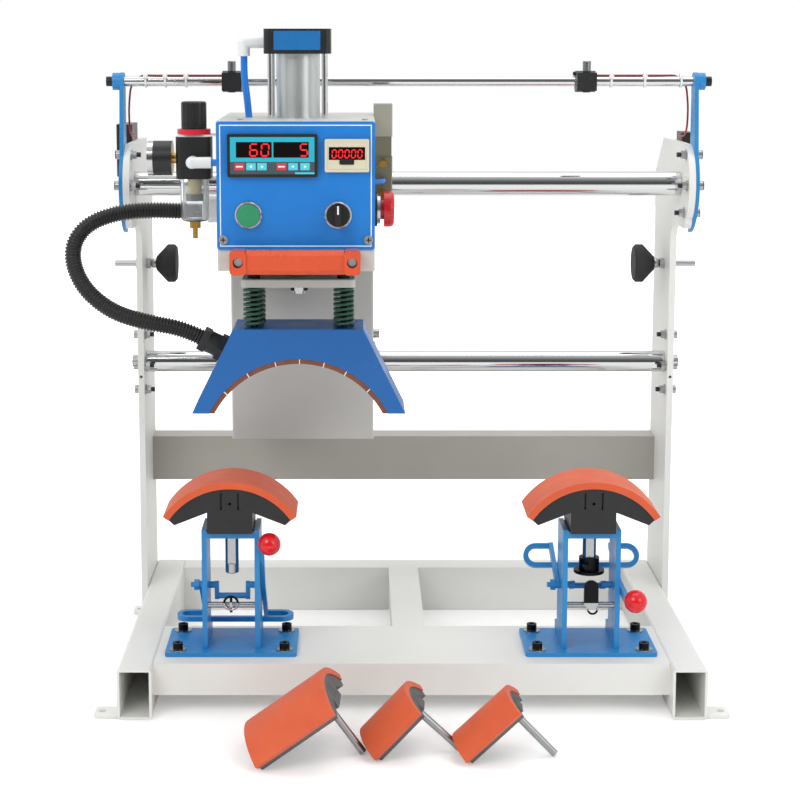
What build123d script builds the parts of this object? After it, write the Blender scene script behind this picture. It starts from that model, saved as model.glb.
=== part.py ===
from build123d import *
import math
import os

# Cap heat press with a sliding pneumatic head over two cap stations.
# Millimetres. +Z is up and the front faces -Y.
# The origin is the centre of the four floor-tab holes, on the floor plane.

# ---- base frame ----
base_width = 681.0
tube_width = 40.0
tube_height = 60.0
tube_wall = 3.0
tube_radius = 4.0
base_front = -205.0
base_rear = 233.0
front_beam_y0 = -184.0
front_beam_depth = 134.0
low_beam_height = 38.0
rear_beam_y0 = 195.0
rear_beam_depth = 36.0
centre_beam_width = 40.0
tab_size = 28.0
tab_thickness = 4.0
tab_hole_radius = 4.5
tab_hole_out = 19.0
tab_hole_y = 187.0

# ---- uprights ----
plate_thickness = 8.0
upright_front = 110.0
upright_foot_z = 10.0
head_front = -12.0
rail_front = 195.0
rail_depth = 38.0
rail_height = 60.0
rail_top_z = 244.0

# ---- guide rods ----
upper_rod_radius = 15.0
upper_rod_y = 52.0
upper_rod_z = 599.5
lower_rod_radius = 14.0
lower_rod_y = 139.0
lower_rod_z = 358.0
rod_screw_radius = 5.0
running_gap = 0.05
soft_gap = 0.3

# ---- bumpers ----
bumper_standoff = 40.5
bumper_y = 155.0
bumper_z = 486.0
bumper_radius = 25.0
stud_radius = 4.0
stud_length_out = 33.0

# ---- laser rod ----
laser_rod_radius = 6.0
laser_rod_y = 25.0
laser_rod_z = 727.0
arm_thickness = 5.0
arm_disc_radius = 62.0
laser_offset = 216.0
laser_clamp_width = 24.0
laser_clamp_radius = 13.0
laser_body_radius = 5.0
laser_body_length = 38.0
wire_radius = 1.2

# ---- carriage ----
carriage_x = -131.0
column_half = 88.0
column_wall = 6.0
column_bottom = 285.0
column_depth = 180.0
bushing_wall = 7.0
bushing_flange = 4.0
head_half = 87.0
head_y0 = -222.0
head_bottom = 525.0
head_top = 690.0
sheet = 2.0
panel_bottom = 549.0
handle_half = 71.0
handle_end_width = 18.0
handle_z0 = 525.5
handle_height = 26.5
handle_reach = 40.0

# ---- controls, measured from the carriage's middle ----
controller_x0 = -74.5
controller_width = 98.5
controller_z0 = 629.5
controller_height = 47.0
counter_width = 48.5
counter_right = 6.5
counter_z0 = 635.0
counter_height = 36.0
bezel_proud = 6.0
button_x = -52.0
selector_x = 46.5
button_z = 587.5
button_ring_radius = 14.9
button_radius = 12.6
button_travel = 3.0
estop_y = -130.0
estop_z = 585.0
estop_radius = 20.5
estop_travel = 4.0

# ---- cylinder and ram ----
press_y = -122.0
cap_size = 75.5
cap_height = 28.0
cylinder_top = 790.5
barrel_radius = 25.0
barrel_bore = 21.0
tie_rod_offset = 30.5
tie_rod_radius = 3.0
piston_rod_radius = 8.0
ram_top = 507.0
ram_thickness = 9.5
ram_width = 131.0
ram_depth = 72.0

# ---- heat platen ----
cover_top = 449.3
cover_bottom = 351.0
cover_top_half = 74.5
cover_bottom_half = 123.0
cover_depth = 76.0
arch_radius = 115.5
arch_centre_z = 299.2
heater_thickness = 5.5
spring_x = 52.0
spring_y = 22.0
spring_radius = 10.3
spring_wire = 3.4
spring_turns = 8
guide_bolt_radius = 4.0
gland_z = 421.0

# ---- hose ----
hose_radius = 10.0
hose_root_radius = 8.6
hose_bore_radius = 7.2
hose_rib_pitch = 3.6
hose_reach = 268.0
fitting_end_x = 110.0
fitting_z = 575.0
fitting_y = -57.0

# ---- air service ----
regulator_x = -120.0
regulator_y = -120.0
regulator_size = 40.0
regulator_z0 = 620.0
regulator_top = 668.6
regulator_knob_radius = 14.5
regulator_knob_height = 31.0
bowl_radius = 16.5
bowl_height = 50.0
inlet_radius = 6.58
inlet_depth = 12.0
gauge_radius = 20.0
gauge_depth = 28.0
air_tube_radius = 4.0
valve_width = 22.0
valve_y0 = -75.0
valve_depth = 30.0
valve_z0 = 590.0
valve_top = 703.0

# ---- stations ----
station_x = 212.0
station_plate_half = 77.5
station_plate_y0 = -162.0
station_plate_y1 = -72.0
station_plate_thickness = 5.0
side_y0 = -147.0
side_y1 = -93.0
side_outer = 34.0
side_thickness = 6.0
side_top = 209.0
seat_top = 207.0
seat_thickness = 8.0
foot_rear = -73.0
foot_top = 77.0
stem_radius = 8.0
stem_bottom = 151.0
pivot_y = -120.0
pivot_z = 135.0
pivot_radius = 4.0
cross_rod_y = -141.0
cross_rod_z = 117.0
cross_rod_radius = 3.5
bow_half = 68.0
bow_bar = 6.0
lever_swing = 60.0
ball_radius = 13.3

# ---- lower platens ----
pad_radius = 94.0
pad_thickness = 8.0
pad_half_angle = 55.8
pad_centre_z = 175.0
platen_y0 = -157.5
platen_y1 = -86.5
neck_half = 26.5
spare_sizes = ((104.0, 75.0, 53.0), (72.0, 50.0, 59.0), (80.0, 42.0, 61.0))
spare_places = ((-173.0, -358.0), (-45.0, -333.0), (54.0, -341.0))
spare_pad_thickness = 8.0
spare_core_inset = 1.5
spare_core_foot = 5.0
spare_stem_radius = 4.0
spare_stem_reach = 66.0
spare_stem_share = 0.7
spare_turn = 3.0

# ---- values that follow ----
half_base = base_width / 2
head_top_z = upper_rod_z + 50.5
head_under_z = upper_rod_z - 53.5
bumper_tip = half_base - bumper_standoff
carriage_left_travel = bumper_tip - column_half + carriage_x
carriage_right_travel = bumper_tip - column_half - carriage_x
counter_x0 = head_half - counter_width - counter_right
panel_screw_x = head_half - 7
valve_x0 = head_half
inner_half = half_base - tube_width
upright_out = half_base + plate_thickness
press_half_depth = cover_depth / 2
barrel_top = cylinder_top - cap_height


def box(x0, x1, y0, y1, z0, z1):
    """A block between two corners."""
    middle = ((x0 + x1) / 2, (y0 + y1) / 2, (z0 + z1) / 2)
    return Pos(*middle) * Box(abs(x1 - x0), abs(y1 - y0), abs(z1 - z0))


def rod_x(x0, x1, y, z, radius):
    """A round bar along X."""
    return Pos((x0 + x1) / 2, y, z) * Rot(0, 90, 0) * Cylinder(radius, abs(x1 - x0))


def rod_y(x, y0, y1, z, radius):
    """A round bar along Y."""
    return Pos(x, (y0 + y1) / 2, z) * Rot(90, 0, 0) * Cylinder(radius, abs(y1 - y0))


def rod_z(x, y, z0, z1, radius):
    """A round bar along Z."""
    return Pos(x, y, (z0 + z1) / 2) * Cylinder(radius, abs(z1 - z0))


def prism_x(outline, x0, x1):
    """A plate along X whose outline is a list of (y, z) corners."""
    corners = [(x0, y, z) for y, z in outline]
    return extrude(make_face(Polyline(*corners, close=True)), amount=x1 - x0, dir=(1, 0, 0))


def prism_y(outline, y0, y1):
    """A plate along Y whose outline is a list of (x, z) corners."""
    corners = [(x, y0, z) for x, z in outline]
    return extrude(make_face(Polyline(*corners, close=True)), amount=y1 - y0, dir=(0, 1, 0))


def hex_x(x0, x1, y, z, across):
    """A hexagonal bar along X, given across its corners."""
    ring = [(y + across / 2 * math.cos(math.radians(a)), z + across / 2 * math.sin(math.radians(a)))
            for a in range(0, 360, 60)]
    return prism_x(ring, x0, x1)


def hex_z(x, y, z0, z1, across):
    """A hexagonal bar along Z, given across its corners."""
    bar = Pos(x, y, z0) * extrude(RegularPolygon(across / 2, 6), amount=z1 - z0)
    return bar


def mirrored(piece):
    """The same piece on the other side of the middle plane."""
    return mirror(piece, about=Plane.YZ)


def save(name, *pieces):
    """Write one node, with each of its solids kept apart."""
    solids = []
    for piece in pieces:
        solids += piece.solids()
    export_step(Compound(solids), "parts/" + name + ".step")


def filleted_path(points):
    """A path of straight runs and tangent arcs, and the radii of its arcs."""
    vectors = [Vector(*p) for p in points]
    radii = []
    for before, corner, after in zip(vectors, vectors[1:], vectors[2:]):
        turn = (corner - before).get_angle(after - corner)
        run = min((corner - before).length, (after - corner).length)
        radii.append(0.45 * run / math.tan(math.radians(turn / 2)))
    return FilletPolyline(*points, radius=radii), radii


def tube_along(points, radius):
    """A round tube along a filleted path."""
    path, radii = filleted_path(points)
    profile = Plane(path @ 0, z_dir=path % 0) * Circle(radius)
    return sweep(profile, path=path), radii


# ---------------------------------------------------------------- base frame

def side_tube():
    """The right side tube of the base, open at both ends."""
    tube = box(inner_half, half_base, base_front, base_rear, 0, tube_height)
    tube = fillet(tube.edges().filter_by(Axis.Y), tube_radius)
    bore = box(inner_half + tube_wall, half_base - tube_wall, base_front - 1, base_rear + 1,
               tube_wall, tube_height - tube_wall)
    return tube - bore


def beam(x0, x1, y0, y1, z0, z1, along):
    """A hollow rectangular beam along X or Y."""
    outer = box(x0, x1, y0, y1, z0, z1)
    if along == "X":
        return outer - box(x0 - 1, x1 + 1, y0 + tube_wall, y1 - tube_wall, z0 + tube_wall, z1 - tube_wall)
    return outer - box(x0 + tube_wall, x1 - tube_wall, y0 - 1, y1 + 1, z0 + tube_wall, z1 - tube_wall)


def station_screw_places():
    """Where the eight station screws stand."""
    places = []
    for centre in (-station_x, station_x):
        for dx in (-63, 63):
            for y in (station_plate_y0 + 12, station_plate_y1 - 10):
                places.append((centre + dx, y))
    return places


def front_beam():
    front = front_beam_y0 + front_beam_depth
    piece = beam(-inner_half, inner_half, front_beam_y0, front, tube_height - low_beam_height,
                 tube_height, "X")
    for x, y in station_screw_places():
        piece -= rod_z(x, y, tube_height - tube_wall - 1, tube_height + 1, 3.1)
    return piece


def floor_tab(side, y_sign):
    """One holed tab, welded outside a side tube."""
    x0 = side * half_base
    x1 = side * (half_base + tab_size)
    y = y_sign * tab_hole_y
    tab = box(x0, x1, y - tab_size / 2, y + tab_size / 2, 0, tab_thickness)
    tab = fillet(tab.edges().filter_by(Axis.Z).sort_by(Axis.X, reverse=side > 0)[:2], 5)
    return tab - rod_z(side * (half_base + tab_hole_out), y, -1, tab_thickness + 1, tab_hole_radius)


plate_bolt_spots = ((13, upper_rod_z + 38.5), (0, upper_rod_z + 1.5), (18, upper_rod_z - 33.5))
low_bolt_spots = ((125, lower_rod_z + 38), (118, lower_rod_z - 2), (125, lower_rod_z - 35))
bolt_radius = 3.0


def upright():
    """The right upright: a plate with a rounded head that reaches forward."""
    x = half_base
    rear = base_rear
    under = head_under_z
    corner = Line((x, rear, upright_foot_z), (x, rear, head_top_z - 47))
    slope = Line((x, rear, head_top_z - 47), (x, rear - 55, head_top_z))
    top = Line((x, rear - 55, head_top_z), (x, 25, head_top_z))
    brow = ThreePointArc((x, 25, head_top_z), (x, head_front, upper_rod_z + 2.5), (x, 8, under + 12))
    chin = ThreePointArc((x, 8, under + 12), (x, 14, under + 3), (x, 25, under))
    jaw = Line((x, 25, under), (x, 84, under))
    neck = ThreePointArc((x, 84, under), (x, 102, under - 8), (x, upright_front, under - 26))
    front = Line((x, upright_front, under - 26), (x, upright_front, upright_foot_z))
    foot = Line((x, upright_front, upright_foot_z), (x, rear, upright_foot_z))
    face = make_face([corner, slope, top, brow, chin, jaw, neck, front, foot])
    plate = extrude(face, amount=plate_thickness, dir=(1, 0, 0))
    for y, z in plate_bolt_spots + low_bolt_spots:
        plate -= rod_x(x - 1, x + plate_thickness + 1, y, z, bolt_radius + 0.1)
    for y, z in ((upper_rod_y, upper_rod_z), (lower_rod_y, lower_rod_z)):
        plate -= rod_x(x - 1, x + plate_thickness + 1, y, z, rod_screw_radius + 0.1)
    plate -= rod_x(x - 1, x + plate_thickness + 1, bumper_y, bumper_z, stud_radius + 0.1)
    plate -= rod_y(x + plate_thickness / 2, upright_front - 1, upright_front + 12, lower_rod_z - 16, 2.0)
    return plate


def guide_rod(y, z, radius):
    """A hard chrome rod, tapped at both ends."""
    rod = rod_x(-half_base, half_base, y, z, radius)
    rod = chamfer(rod.edges().filter_by(GeomType.CIRCLE), 1)
    for side in (-1, 1):
        rod -= rod_x(side * (half_base - 24), side * (half_base + 1), y, z, rod_screw_radius + 0.1)
    return rod


def through_bolt(x_inner, x_outer, y, z):
    """A cap screw with its head outboard and a flange nut inboard."""
    shank = rod_x(x_inner - 12, x_outer, y, z, bolt_radius)
    head = rod_x(x_outer, x_outer + 6, y, z, 5.5) - hex_x(x_outer + 3, x_outer + 7, y, z, 5.8)
    flange = rod_x(x_inner - 1.6, x_inner, y, z, 6.6)
    nut = hex_x(x_inner - 7, x_inner - 1.6, y, z, 11.0)
    return shank + head + flange + nut


def rod_screw(y, z):
    """The screw that draws a guide rod against its upright."""
    washer = rod_x(upright_out, upright_out + 2, y, z, 11)
    head = rod_x(upright_out + 2, upright_out + 10, y, z, 8)
    head -= hex_x(upright_out + 6, upright_out + 11, y, z, 9)
    shank = rod_x(half_base - 20, upright_out, y, z, rod_screw_radius)
    return washer + head + shank


def frame_bolts():
    outboard = upright_out + arm_thickness
    pieces = [through_bolt(half_base, outboard, y, z) for y, z in plate_bolt_spots]
    pieces += [through_bolt(half_base, upright_out, y, z) for y, z in low_bolt_spots]
    pieces.append(rod_screw(upper_rod_y, upper_rod_z))
    pieces.append(rod_screw(lower_rod_y, lower_rod_z))
    return pieces


# ---------------------------------------------------------------- bumpers

bumper_height = 27.0
stud_start = bumper_tip + bumper_height


def bumper_stud():
    """A threaded stud with two lock nuts and a ball end, along X."""
    stud = rod_x(stud_start, upright_out + stud_length_out, bumper_y, bumper_z, stud_radius)
    ball_x = stud_start + 2.5
    stud += Pos(ball_x, bumper_y, bumper_z) * Sphere(6.5) & box(
        stud_start, ball_x + 9, bumper_y - 9, bumper_y + 9, bumper_z - 9, bumper_z + 9)
    stud += hex_x(half_base - 6, half_base, bumper_y, bumper_z, 15)
    stud += hex_x(upright_out, upright_out + 6, bumper_y, bumper_z, 15)
    return stud


def bumper_pad():
    """The rubber cone, widest towards the machine's middle."""
    r = bumper_radius
    profile = make_face(Polyline((0, 0), (r - 3, 0), (r, 3), (r, 12), (9, bumper_height), (0, bumper_height),
                                 close=True))
    cone = revolve(Plane.XZ * profile, axis=Axis.Z)
    return Pos(bumper_tip, bumper_y, bumper_z) * Rot(0, 90, 0) * cone


# ---------------------------------------------------------------- laser rod

def laser_arm():
    """The right arm: a half disc on the upright's head and a strip up to the rod."""
    x0 = upright_out
    x1 = x0 + arm_thickness
    disc = rod_x(x0, x1, upper_rod_y, upper_rod_z, arm_disc_radius)
    disc &= box(x0 - 1, x1 + 1, head_front - 5, 34, upper_rod_z - 69.5, upper_rod_z + 70.5)
    y = laser_rod_y
    strip = prism_x([(y - 11, laser_rod_z), (y + 11, laser_rod_z), (34, head_top_z - 5), (2, head_top_z - 22)], x0, x1)
    eye = rod_x(x0, x1, y, laser_rod_z, 11)
    arm = disc + strip + eye - rod_x(x0 - 1, x1 + 1, y, laser_rod_z, laser_rod_radius)
    for bolt_y, bolt_z in plate_bolt_spots:
        arm -= rod_x(x0 - 1, x1 + 1, bolt_y, bolt_z, bolt_radius + 0.1)
    collar = rod_x(x1, x1 + 9, y, laser_rod_z, 10.5) - rod_x(x1 - 1, x1 + 10, y, laser_rod_z, 3.1)
    return arm, collar


def laser_rod():
    end = upright_out + arm_thickness
    rod = rod_x(-end, end, laser_rod_y, laser_rod_z, laser_rod_radius)
    for side in (-1, 1):
        rod -= rod_x(side * (end - 15), side * (end + 1), laser_rod_y, laser_rod_z, 3.1)
    return rod


def laser_end_screw():
    x = upright_out + arm_thickness
    y = laser_rod_y
    shank = rod_x(x - 12, x + 9, y, laser_rod_z, bolt_radius)
    head = rod_x(x + 9, x + 17, y, laser_rod_z, 6) - hex_x(x + 13, x + 18, y, laser_rod_z, 6)
    return shank + head


power_box_y = (90, 150)
switch_box_y = (90, 130)


def laser_boxes():
    """The power module on the left head and the switch block on the right one."""
    left = box(-upright_out - 20, -upright_out, *power_box_y, head_top_z - 45, head_top_z + 21)
    left = fillet(left.edges().filter_by(Axis.Z), 2)
    right = box(upright_out, upright_out + 14, *switch_box_y, head_top_z - 28, head_top_z + 11)
    right = fillet(right.edges().filter_by(Axis.Z), 2)
    left_hole, radii = laser_wire(-1, wire_radius + 0.05)
    right_hole, radii = laser_wire(1, wire_radius + 0.05)
    return left - left_hole, right - right_hole


def laser_wire(side, radius):
    """A lead along the rod, down inside the arm and back over the plate to its box."""
    start = laser_offset + laser_clamp_width / 2 + 1
    y = laser_rod_y
    top = laser_rod_z + laser_rod_radius + wire_radius
    edge = half_base + 4.5
    route = [(side * start, y, top), (side * (edge - 33), y, top), (side * (edge - 15), y + 8, top),
             (side * (edge - 3), y + 10, top - 12), (side * edge, y + 10, laser_rod_z - 31),
             (side * edge, y + 14, head_top_z + 18), (side * edge, y + 34, head_top_z + 8),
             (side * edge, 96, head_top_z + 7), (side * (upright_out + 3), 114, head_top_z + 7)]
    return tube_along(route, radius)


def laser_clamp():
    """The right split clamp round the rod, with the module standing through it."""
    x = laser_offset
    y = laser_rod_y
    half = laser_clamp_width / 2
    z = laser_rod_z
    ring = rod_x(x - half, x + half, y, z, laser_clamp_radius)
    ring += box(x - half, x + half, y - 20, y - 8, z - 11, z + 11)
    ring -= rod_x(x - half - 1, x + half + 1, y, z, laser_rod_radius + running_gap)
    ring -= rod_z(x, y - 14, z - 20, z + 40, laser_body_radius)
    ring += rod_x(x - half - 3, x - half, y, z + 9.5, 2.5)
    bottom = z - 13
    module = rod_z(x, y - 14, bottom, bottom + laser_body_length, laser_body_radius)
    module = chamfer(module.edges().filter_by(GeomType.CIRCLE), 0.6)
    module -= rod_z(x, y - 14, bottom - 1, bottom + 3, 2.2)
    return ring, module


# ---------------------------------------------------------------- carriage

def place(piece):
    """Move a piece drawn about the carriage's middle to the carriage."""
    return Pos(carriage_x, 0, 0) * piece


low_screw_spots = ((lower_rod_y, lower_rod_z + 37), (lower_rod_y, lower_rod_z - 37))


def carriage_column():
    """A folded channel: a front plate and two flanges that hold the bushings."""
    h = column_half
    w = column_wall
    front = box(-h, h, 0, w, column_bottom, head_top_z)
    profile = [(w, column_bottom), (column_depth, column_bottom), (column_depth, upper_rod_z - 84.5), (100, upper_rod_z - 39.5),
               (100, head_top_z), (w, head_top_z)]
    flange = prism_x(profile, h - w, h)
    for y, z, r in ((upper_rod_y, upper_rod_z, upper_rod_radius), (lower_rod_y, lower_rod_z, lower_rod_radius)):
        flange -= rod_x(h - w - 1, h + 1, y, z, r + bushing_wall)
    for y, z in low_screw_spots:
        flange -= rod_x(h - w - 1, h + 1, y, z, bolt_radius + 0.1)
    column = front + flange + mirrored(flange)
    return fillet(column.edges().filter_by(Axis.Z).group_by(Axis.Y)[0], 3)


def rod_bushing(y, z, radius):
    """A flanged bushing in the right flange."""
    h = column_half
    sleeve = rod_x(h - 30, h, y, z, radius + bushing_wall)
    flange = rod_x(h, h + bushing_flange, y, z, radius + bushing_wall + 5)
    return sleeve + flange - rod_x(h - 31, h + bushing_flange + 1, y, z, radius + running_gap)


def side_screw(y, z):
    h = column_half
    washer = rod_x(h, h + 1.5, y, z, 7.5)
    head = rod_x(h + 1.5, h + 9, y, z, 6) - hex_x(h + 5, h + 10, y, z, 6)
    return washer + head + rod_x(h - 14, h, y, z, bolt_radius)


def head_shell():
    """The folded sheet box of the head, open underneath."""
    h = head_half
    shell = box(-h, h, head_y0, 0, head_bottom, head_top)
    shell = fillet(shell.edges().filter_by(Axis.Z), 3)
    shell -= box(-h + sheet, h - sheet, head_y0 + sheet, -sheet, head_bottom - 1, head_top - sheet)
    shell -= rod_z(0, press_y, head_top - 9, head_top + 1, barrel_radius + 0.5)
    for dx in (-tie_rod_offset, tie_rod_offset):
        for dy in (-tie_rod_offset, tie_rod_offset):
            shell -= rod_z(dx, press_y + dy, head_top - 9, head_top + 1, tie_rod_radius + 0.3)
    y0 = head_y0 - 1
    y1 = head_y0 + sheet + 1
    shell -= control_cuts(y0, y1)
    for tube in air_tubes(0.1):
        shell -= tube
    return shell


def control_cuts(y0, y1):
    """The holes that the controls need, through a wall between y0 and y1."""
    inset = 2.5
    cuts = box(controller_x0 + inset, controller_x0 + controller_width - inset, y0, y1,
               controller_z0 + inset, controller_z0 + controller_height - inset)
    cuts += box(counter_x0 + inset, counter_x0 + counter_width - inset, y0, y1,
                counter_z0 + inset, counter_z0 + counter_height - inset)
    for x in (button_x, selector_x):
        cuts += rod_y(x, y0, y1, button_z, 11)
    return cuts


def front_panel():
    """The printed front plate over the upper part of the head."""
    y0 = head_y0 - sheet
    panel = box(-head_half, head_half, y0, head_y0, panel_bottom, head_top)
    panel = fillet(panel.edges().filter_by(Axis.Y), 3)
    panel -= control_cuts(y0 - 1, head_y0 + 1)
    for x in (-panel_screw_x, panel_screw_x):
        panel -= rod_y(x, y0 - 1, head_y0 + 1, 560, 2.1)
    return panel


def housing(x0, width, z0, height, depth):
    """A panel instrument: a bezel in front and its body behind the panel."""
    y = head_y0 - sheet
    inset = 2.8
    bezel = box(x0, x0 + width, y - bezel_proud, y, z0, z0 + height)
    bezel = fillet(bezel.edges().filter_by(Axis.Y), 2)
    window = box(x0 + 3, x0 + width - 3, y - bezel_proud - 1, y - bezel_proud + 1, z0 + 3, z0 + height - 3)
    body = box(x0 + inset, x0 + width - inset, y, y + depth, z0 + inset, z0 + height - inset)
    return bezel - window + body


counter_key_x = counter_x0 + 24.0
counter_key_z = counter_z0 + 11.5


def counter():
    piece = housing(counter_x0, counter_width, counter_z0, counter_height, 40)
    y = head_y0 - sheet - bezel_proud
    return piece - box(counter_key_x - 8, counter_key_x + 8, y, y + 4, counter_key_z - 3.2, counter_key_z + 3.2)


def counter_key():
    y = head_y0 - sheet - bezel_proud
    key = box(counter_key_x - 7.8, counter_key_x + 7.8, y - 1, y + 2.5, counter_key_z - 3, counter_key_z + 3)
    return fillet(key.edges().filter_by(Axis.Y), 2.6)


def control_ring(x):
    """A round bezel with its sleeve behind the panel."""
    y = head_y0 - sheet
    ring = rod_y(x, y - 4, y, button_z, button_ring_radius)
    ring = chamfer(ring.faces().sort_by(Axis.Y)[0].edges(), 1.2)
    ring += rod_y(x, y, y + 42, button_z, 10.8)
    ring -= rod_y(x, y - 5, y, button_z, button_radius + 0.3)
    return ring - rod_y(x, y - 1, y + 20, button_z, 7)


def green_button():
    y = head_y0 - sheet
    cap = rod_y(button_x, y - 7.5, y - button_travel - 0.5, button_z, button_radius)
    cap = fillet(cap.edges().filter_by(GeomType.CIRCLE).sort_by(Axis.Y)[0], 1.2)
    return cap + rod_y(button_x, y - button_travel - 0.5, y + 15, button_z, 6.9)


def selector_knob():
    y = head_y0 - sheet
    knob = rod_y(selector_x, y - 6, y - 0.4, button_z, button_radius)
    knob += box(selector_x - 3.5, selector_x + 3.5, y - 17, y - 6, button_z - 11.5, button_z + 11.5)
    return knob + rod_y(selector_x, y - 0.4, y + 15, button_z, 6.9)


def estop_base():
    x = head_half
    base = rod_x(x, x + 3.7, estop_y, estop_z, 20)
    base += rod_x(x + 3.7, x + 7, estop_y, estop_z, 17)
    return base - rod_x(x - 1, x + 8, estop_y, estop_z, 12.3)


def estop_button():
    x = head_half
    cap = rod_x(x + 7 + estop_travel + 0.3, x + 23, estop_y, estop_z, estop_radius)
    cap = fillet(cap.edges().filter_by(GeomType.CIRCLE).sort_by(Axis.X)[-1], 5)
    return cap + rod_x(x + 4.5, x + 7 + estop_travel + 0.3, estop_y, estop_z, 12)


def panel_screws():
    """Two panel screws, two small screws on the head's top and two handle screws."""
    pieces = []
    y = head_y0 - sheet
    for x in (-panel_screw_x, panel_screw_x):
        pieces.append(rod_y(x, y - 2.2, y, 560, 5) + rod_y(x, y, head_y0 - 0.1, 560, 2))
    for x in (25 - head_half, head_half - 11):
        pieces.append(rod_z(x, head_y0 + 30, head_top, head_top + 1.6, 3.5))
    for x in (-handle_half + handle_end_width / 2, handle_half - handle_end_width / 2):
        z = handle_z0 + handle_height / 2
        pieces.append(rod_y(x, head_y0 - handle_reach + 7, head_y0 - handle_reach + 14, z, 4.5))
    return pieces


def handle():
    """A moulded bow handle: two sockets and a faceted grip."""
    h = handle_half
    z0 = handle_z0
    z1 = handle_z0 + handle_height
    y0 = head_y0 - handle_reach
    end = handle_end_width
    grip = box(-h + end, h - end, y0 + 2, y0 + 20, z0, z1)
    grip = chamfer(grip.edges().filter_by(Axis.X), 5)
    pieces = grip
    for side in (-1, 1):
        outer = side * h
        inner = side * (h - end)
        block = box(min(outer, inner), max(outer, inner), y0, y0 + 22, z0, z1)
        block = fillet(block.edges().filter_by(Axis.Y), 4)
        leg = box(min(outer, inner) + 1, max(outer, inner) - 1, y0 + 22, head_y0, z0, panel_bottom - 2)
        x = side * (h - end / 2)
        z = (z0 + z1) / 2
        pieces += block + leg
        pieces -= rod_y(x, y0 - 1, y0 + 14, z, 5.5)
    return pieces


# ---------------------------------------------------------------- cylinder and ram

def cylinder_caps():
    """The top cap, and the lower cap that closes the barrel inside the head."""
    half = cap_size / 2
    y = press_y
    top = box(-half, half, y - half, y + half, cylinder_top - cap_height, cylinder_top)
    top = fillet(top.edges().filter_by(Axis.Z), 6)
    top -= rod_x(-half - 1, -half + 12, y, cylinder_top - 15, 5)
    low = box(-half, half, y - half, y + half, head_bottom + 2, head_bottom + 2 + cap_height)
    low = fillet(low.edges().filter_by(Axis.Z), 6)
    low -= rod_z(0, y, head_bottom, head_bottom + 60, piston_rod_radius + running_gap)
    return top, low


def cylinder_barrel():
    """The barrel and its four tie rods."""
    low = head_bottom + 2 + cap_height
    barrel = rod_z(0, press_y, low, barrel_top, barrel_radius)
    barrel -= rod_z(0, press_y, low - 1, barrel_top + 1, barrel_bore)
    pieces = [barrel]
    for dx in (-tie_rod_offset, tie_rod_offset):
        for dy in (-tie_rod_offset, tie_rod_offset):
            pieces.append(rod_z(dx, press_y + dy, low, barrel_top, tie_rod_radius))
    return pieces


spring_places = [(dx, press_y + dy) for dx in (-spring_x, spring_x) for dy in (-spring_y, spring_y)]


def ram_plate():
    y0 = press_y - ram_depth / 2
    plate = box(-ram_width / 2, ram_width / 2, y0, y0 + ram_depth, ram_top - ram_thickness, ram_top)
    plate = fillet(plate.edges().filter_by(Axis.Z), 6)
    plate = chamfer(plate.faces().sort_by(Axis.Z)[-1].edges(), 1)
    for x, y in spring_places:
        plate -= rod_z(x, y, ram_top - 20, ram_top + 1, guide_bolt_radius + running_gap)
    return plate - rod_z(0, press_y, ram_top - 20, ram_top + 1, piston_rod_radius)


def piston_rod():
    """The rod with its piston, and the nuts that clamp the ram plate."""
    y = press_y
    rod = rod_z(0, y, ram_top - ram_thickness - 11, barrel_top - 30, piston_rod_radius)
    rod += rod_z(0, y, barrel_top - 30, barrel_top - 14, barrel_bore - running_gap)
    rod += hex_z(0, y, ram_top, ram_top + 9, 30)
    rod += rod_z(0, y, ram_top - ram_thickness - 3, ram_top - ram_thickness, 13)
    return rod + hex_z(0, y, ram_top - ram_thickness - 8, ram_top - ram_thickness - 3, 20)


def guide_bolts():
    """Four shoulder bolts on which the ram plate floats."""
    pieces = []
    for x, y in spring_places:
        shank = rod_z(x, y, cover_top - 12, ram_top + soft_gap, guide_bolt_radius)
        head = rod_z(x, y, ram_top + soft_gap, ram_top + soft_gap + 9, 7.5)
        head -= hex_z(x, y, ram_top + 5, ram_top + 12, 8)
        pieces.append(shank + head)
    return pieces


def helix_point(x, y, z0, pitch, angle):
    """A point and its unit tangent on the spring's centre line."""
    p = Vector(x + spring_radius * math.cos(angle), y + spring_radius * math.sin(angle),
               z0 + pitch * angle / (2 * math.pi))
    t = Vector(-spring_radius * math.sin(angle), spring_radius * math.cos(angle), pitch / (2 * math.pi))
    return p, t.normalized()


def biarc(p0, t0, p1, t1):
    """Two arcs that leave p0 along t0 and reach p1 along t1."""
    v = p1 - p0
    vt = v.dot(t0 + t1)
    c = 2 * (1 - t0.dot(t1))
    d = (-vt + math.sqrt(vt * vt + c * v.dot(v))) / c
    middle = (p0 + t0 * d + p1 - t1 * d) * 0.5
    first = Edge.make_tangent_arc(p0, t0, middle)
    bend = (p1 - t1 * d - middle).normalized()
    return [first, Edge.make_tangent_arc(middle, bend, p1)]


def spring(x, y, bottom, top):
    """One compression spring, swept along arcs of a quarter turn."""
    z0 = bottom + spring_wire / 2
    pitch = (top - bottom - spring_wire) / spring_turns
    edges = []
    for i in range(spring_turns * 2):
        p0, t0 = helix_point(x, y, z0, pitch, i * math.pi)
        p1, t1 = helix_point(x, y, z0, pitch, (i + 1) * math.pi)
        edges += biarc(p0, t0, p1, t1)
    path = Wire(edges)
    start, along = helix_point(x, y, z0, pitch, 0)
    return sweep(Plane(start, z_dir=along) * Circle(spring_wire / 2), path=path)


# ---------------------------------------------------------------- heat platen

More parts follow.
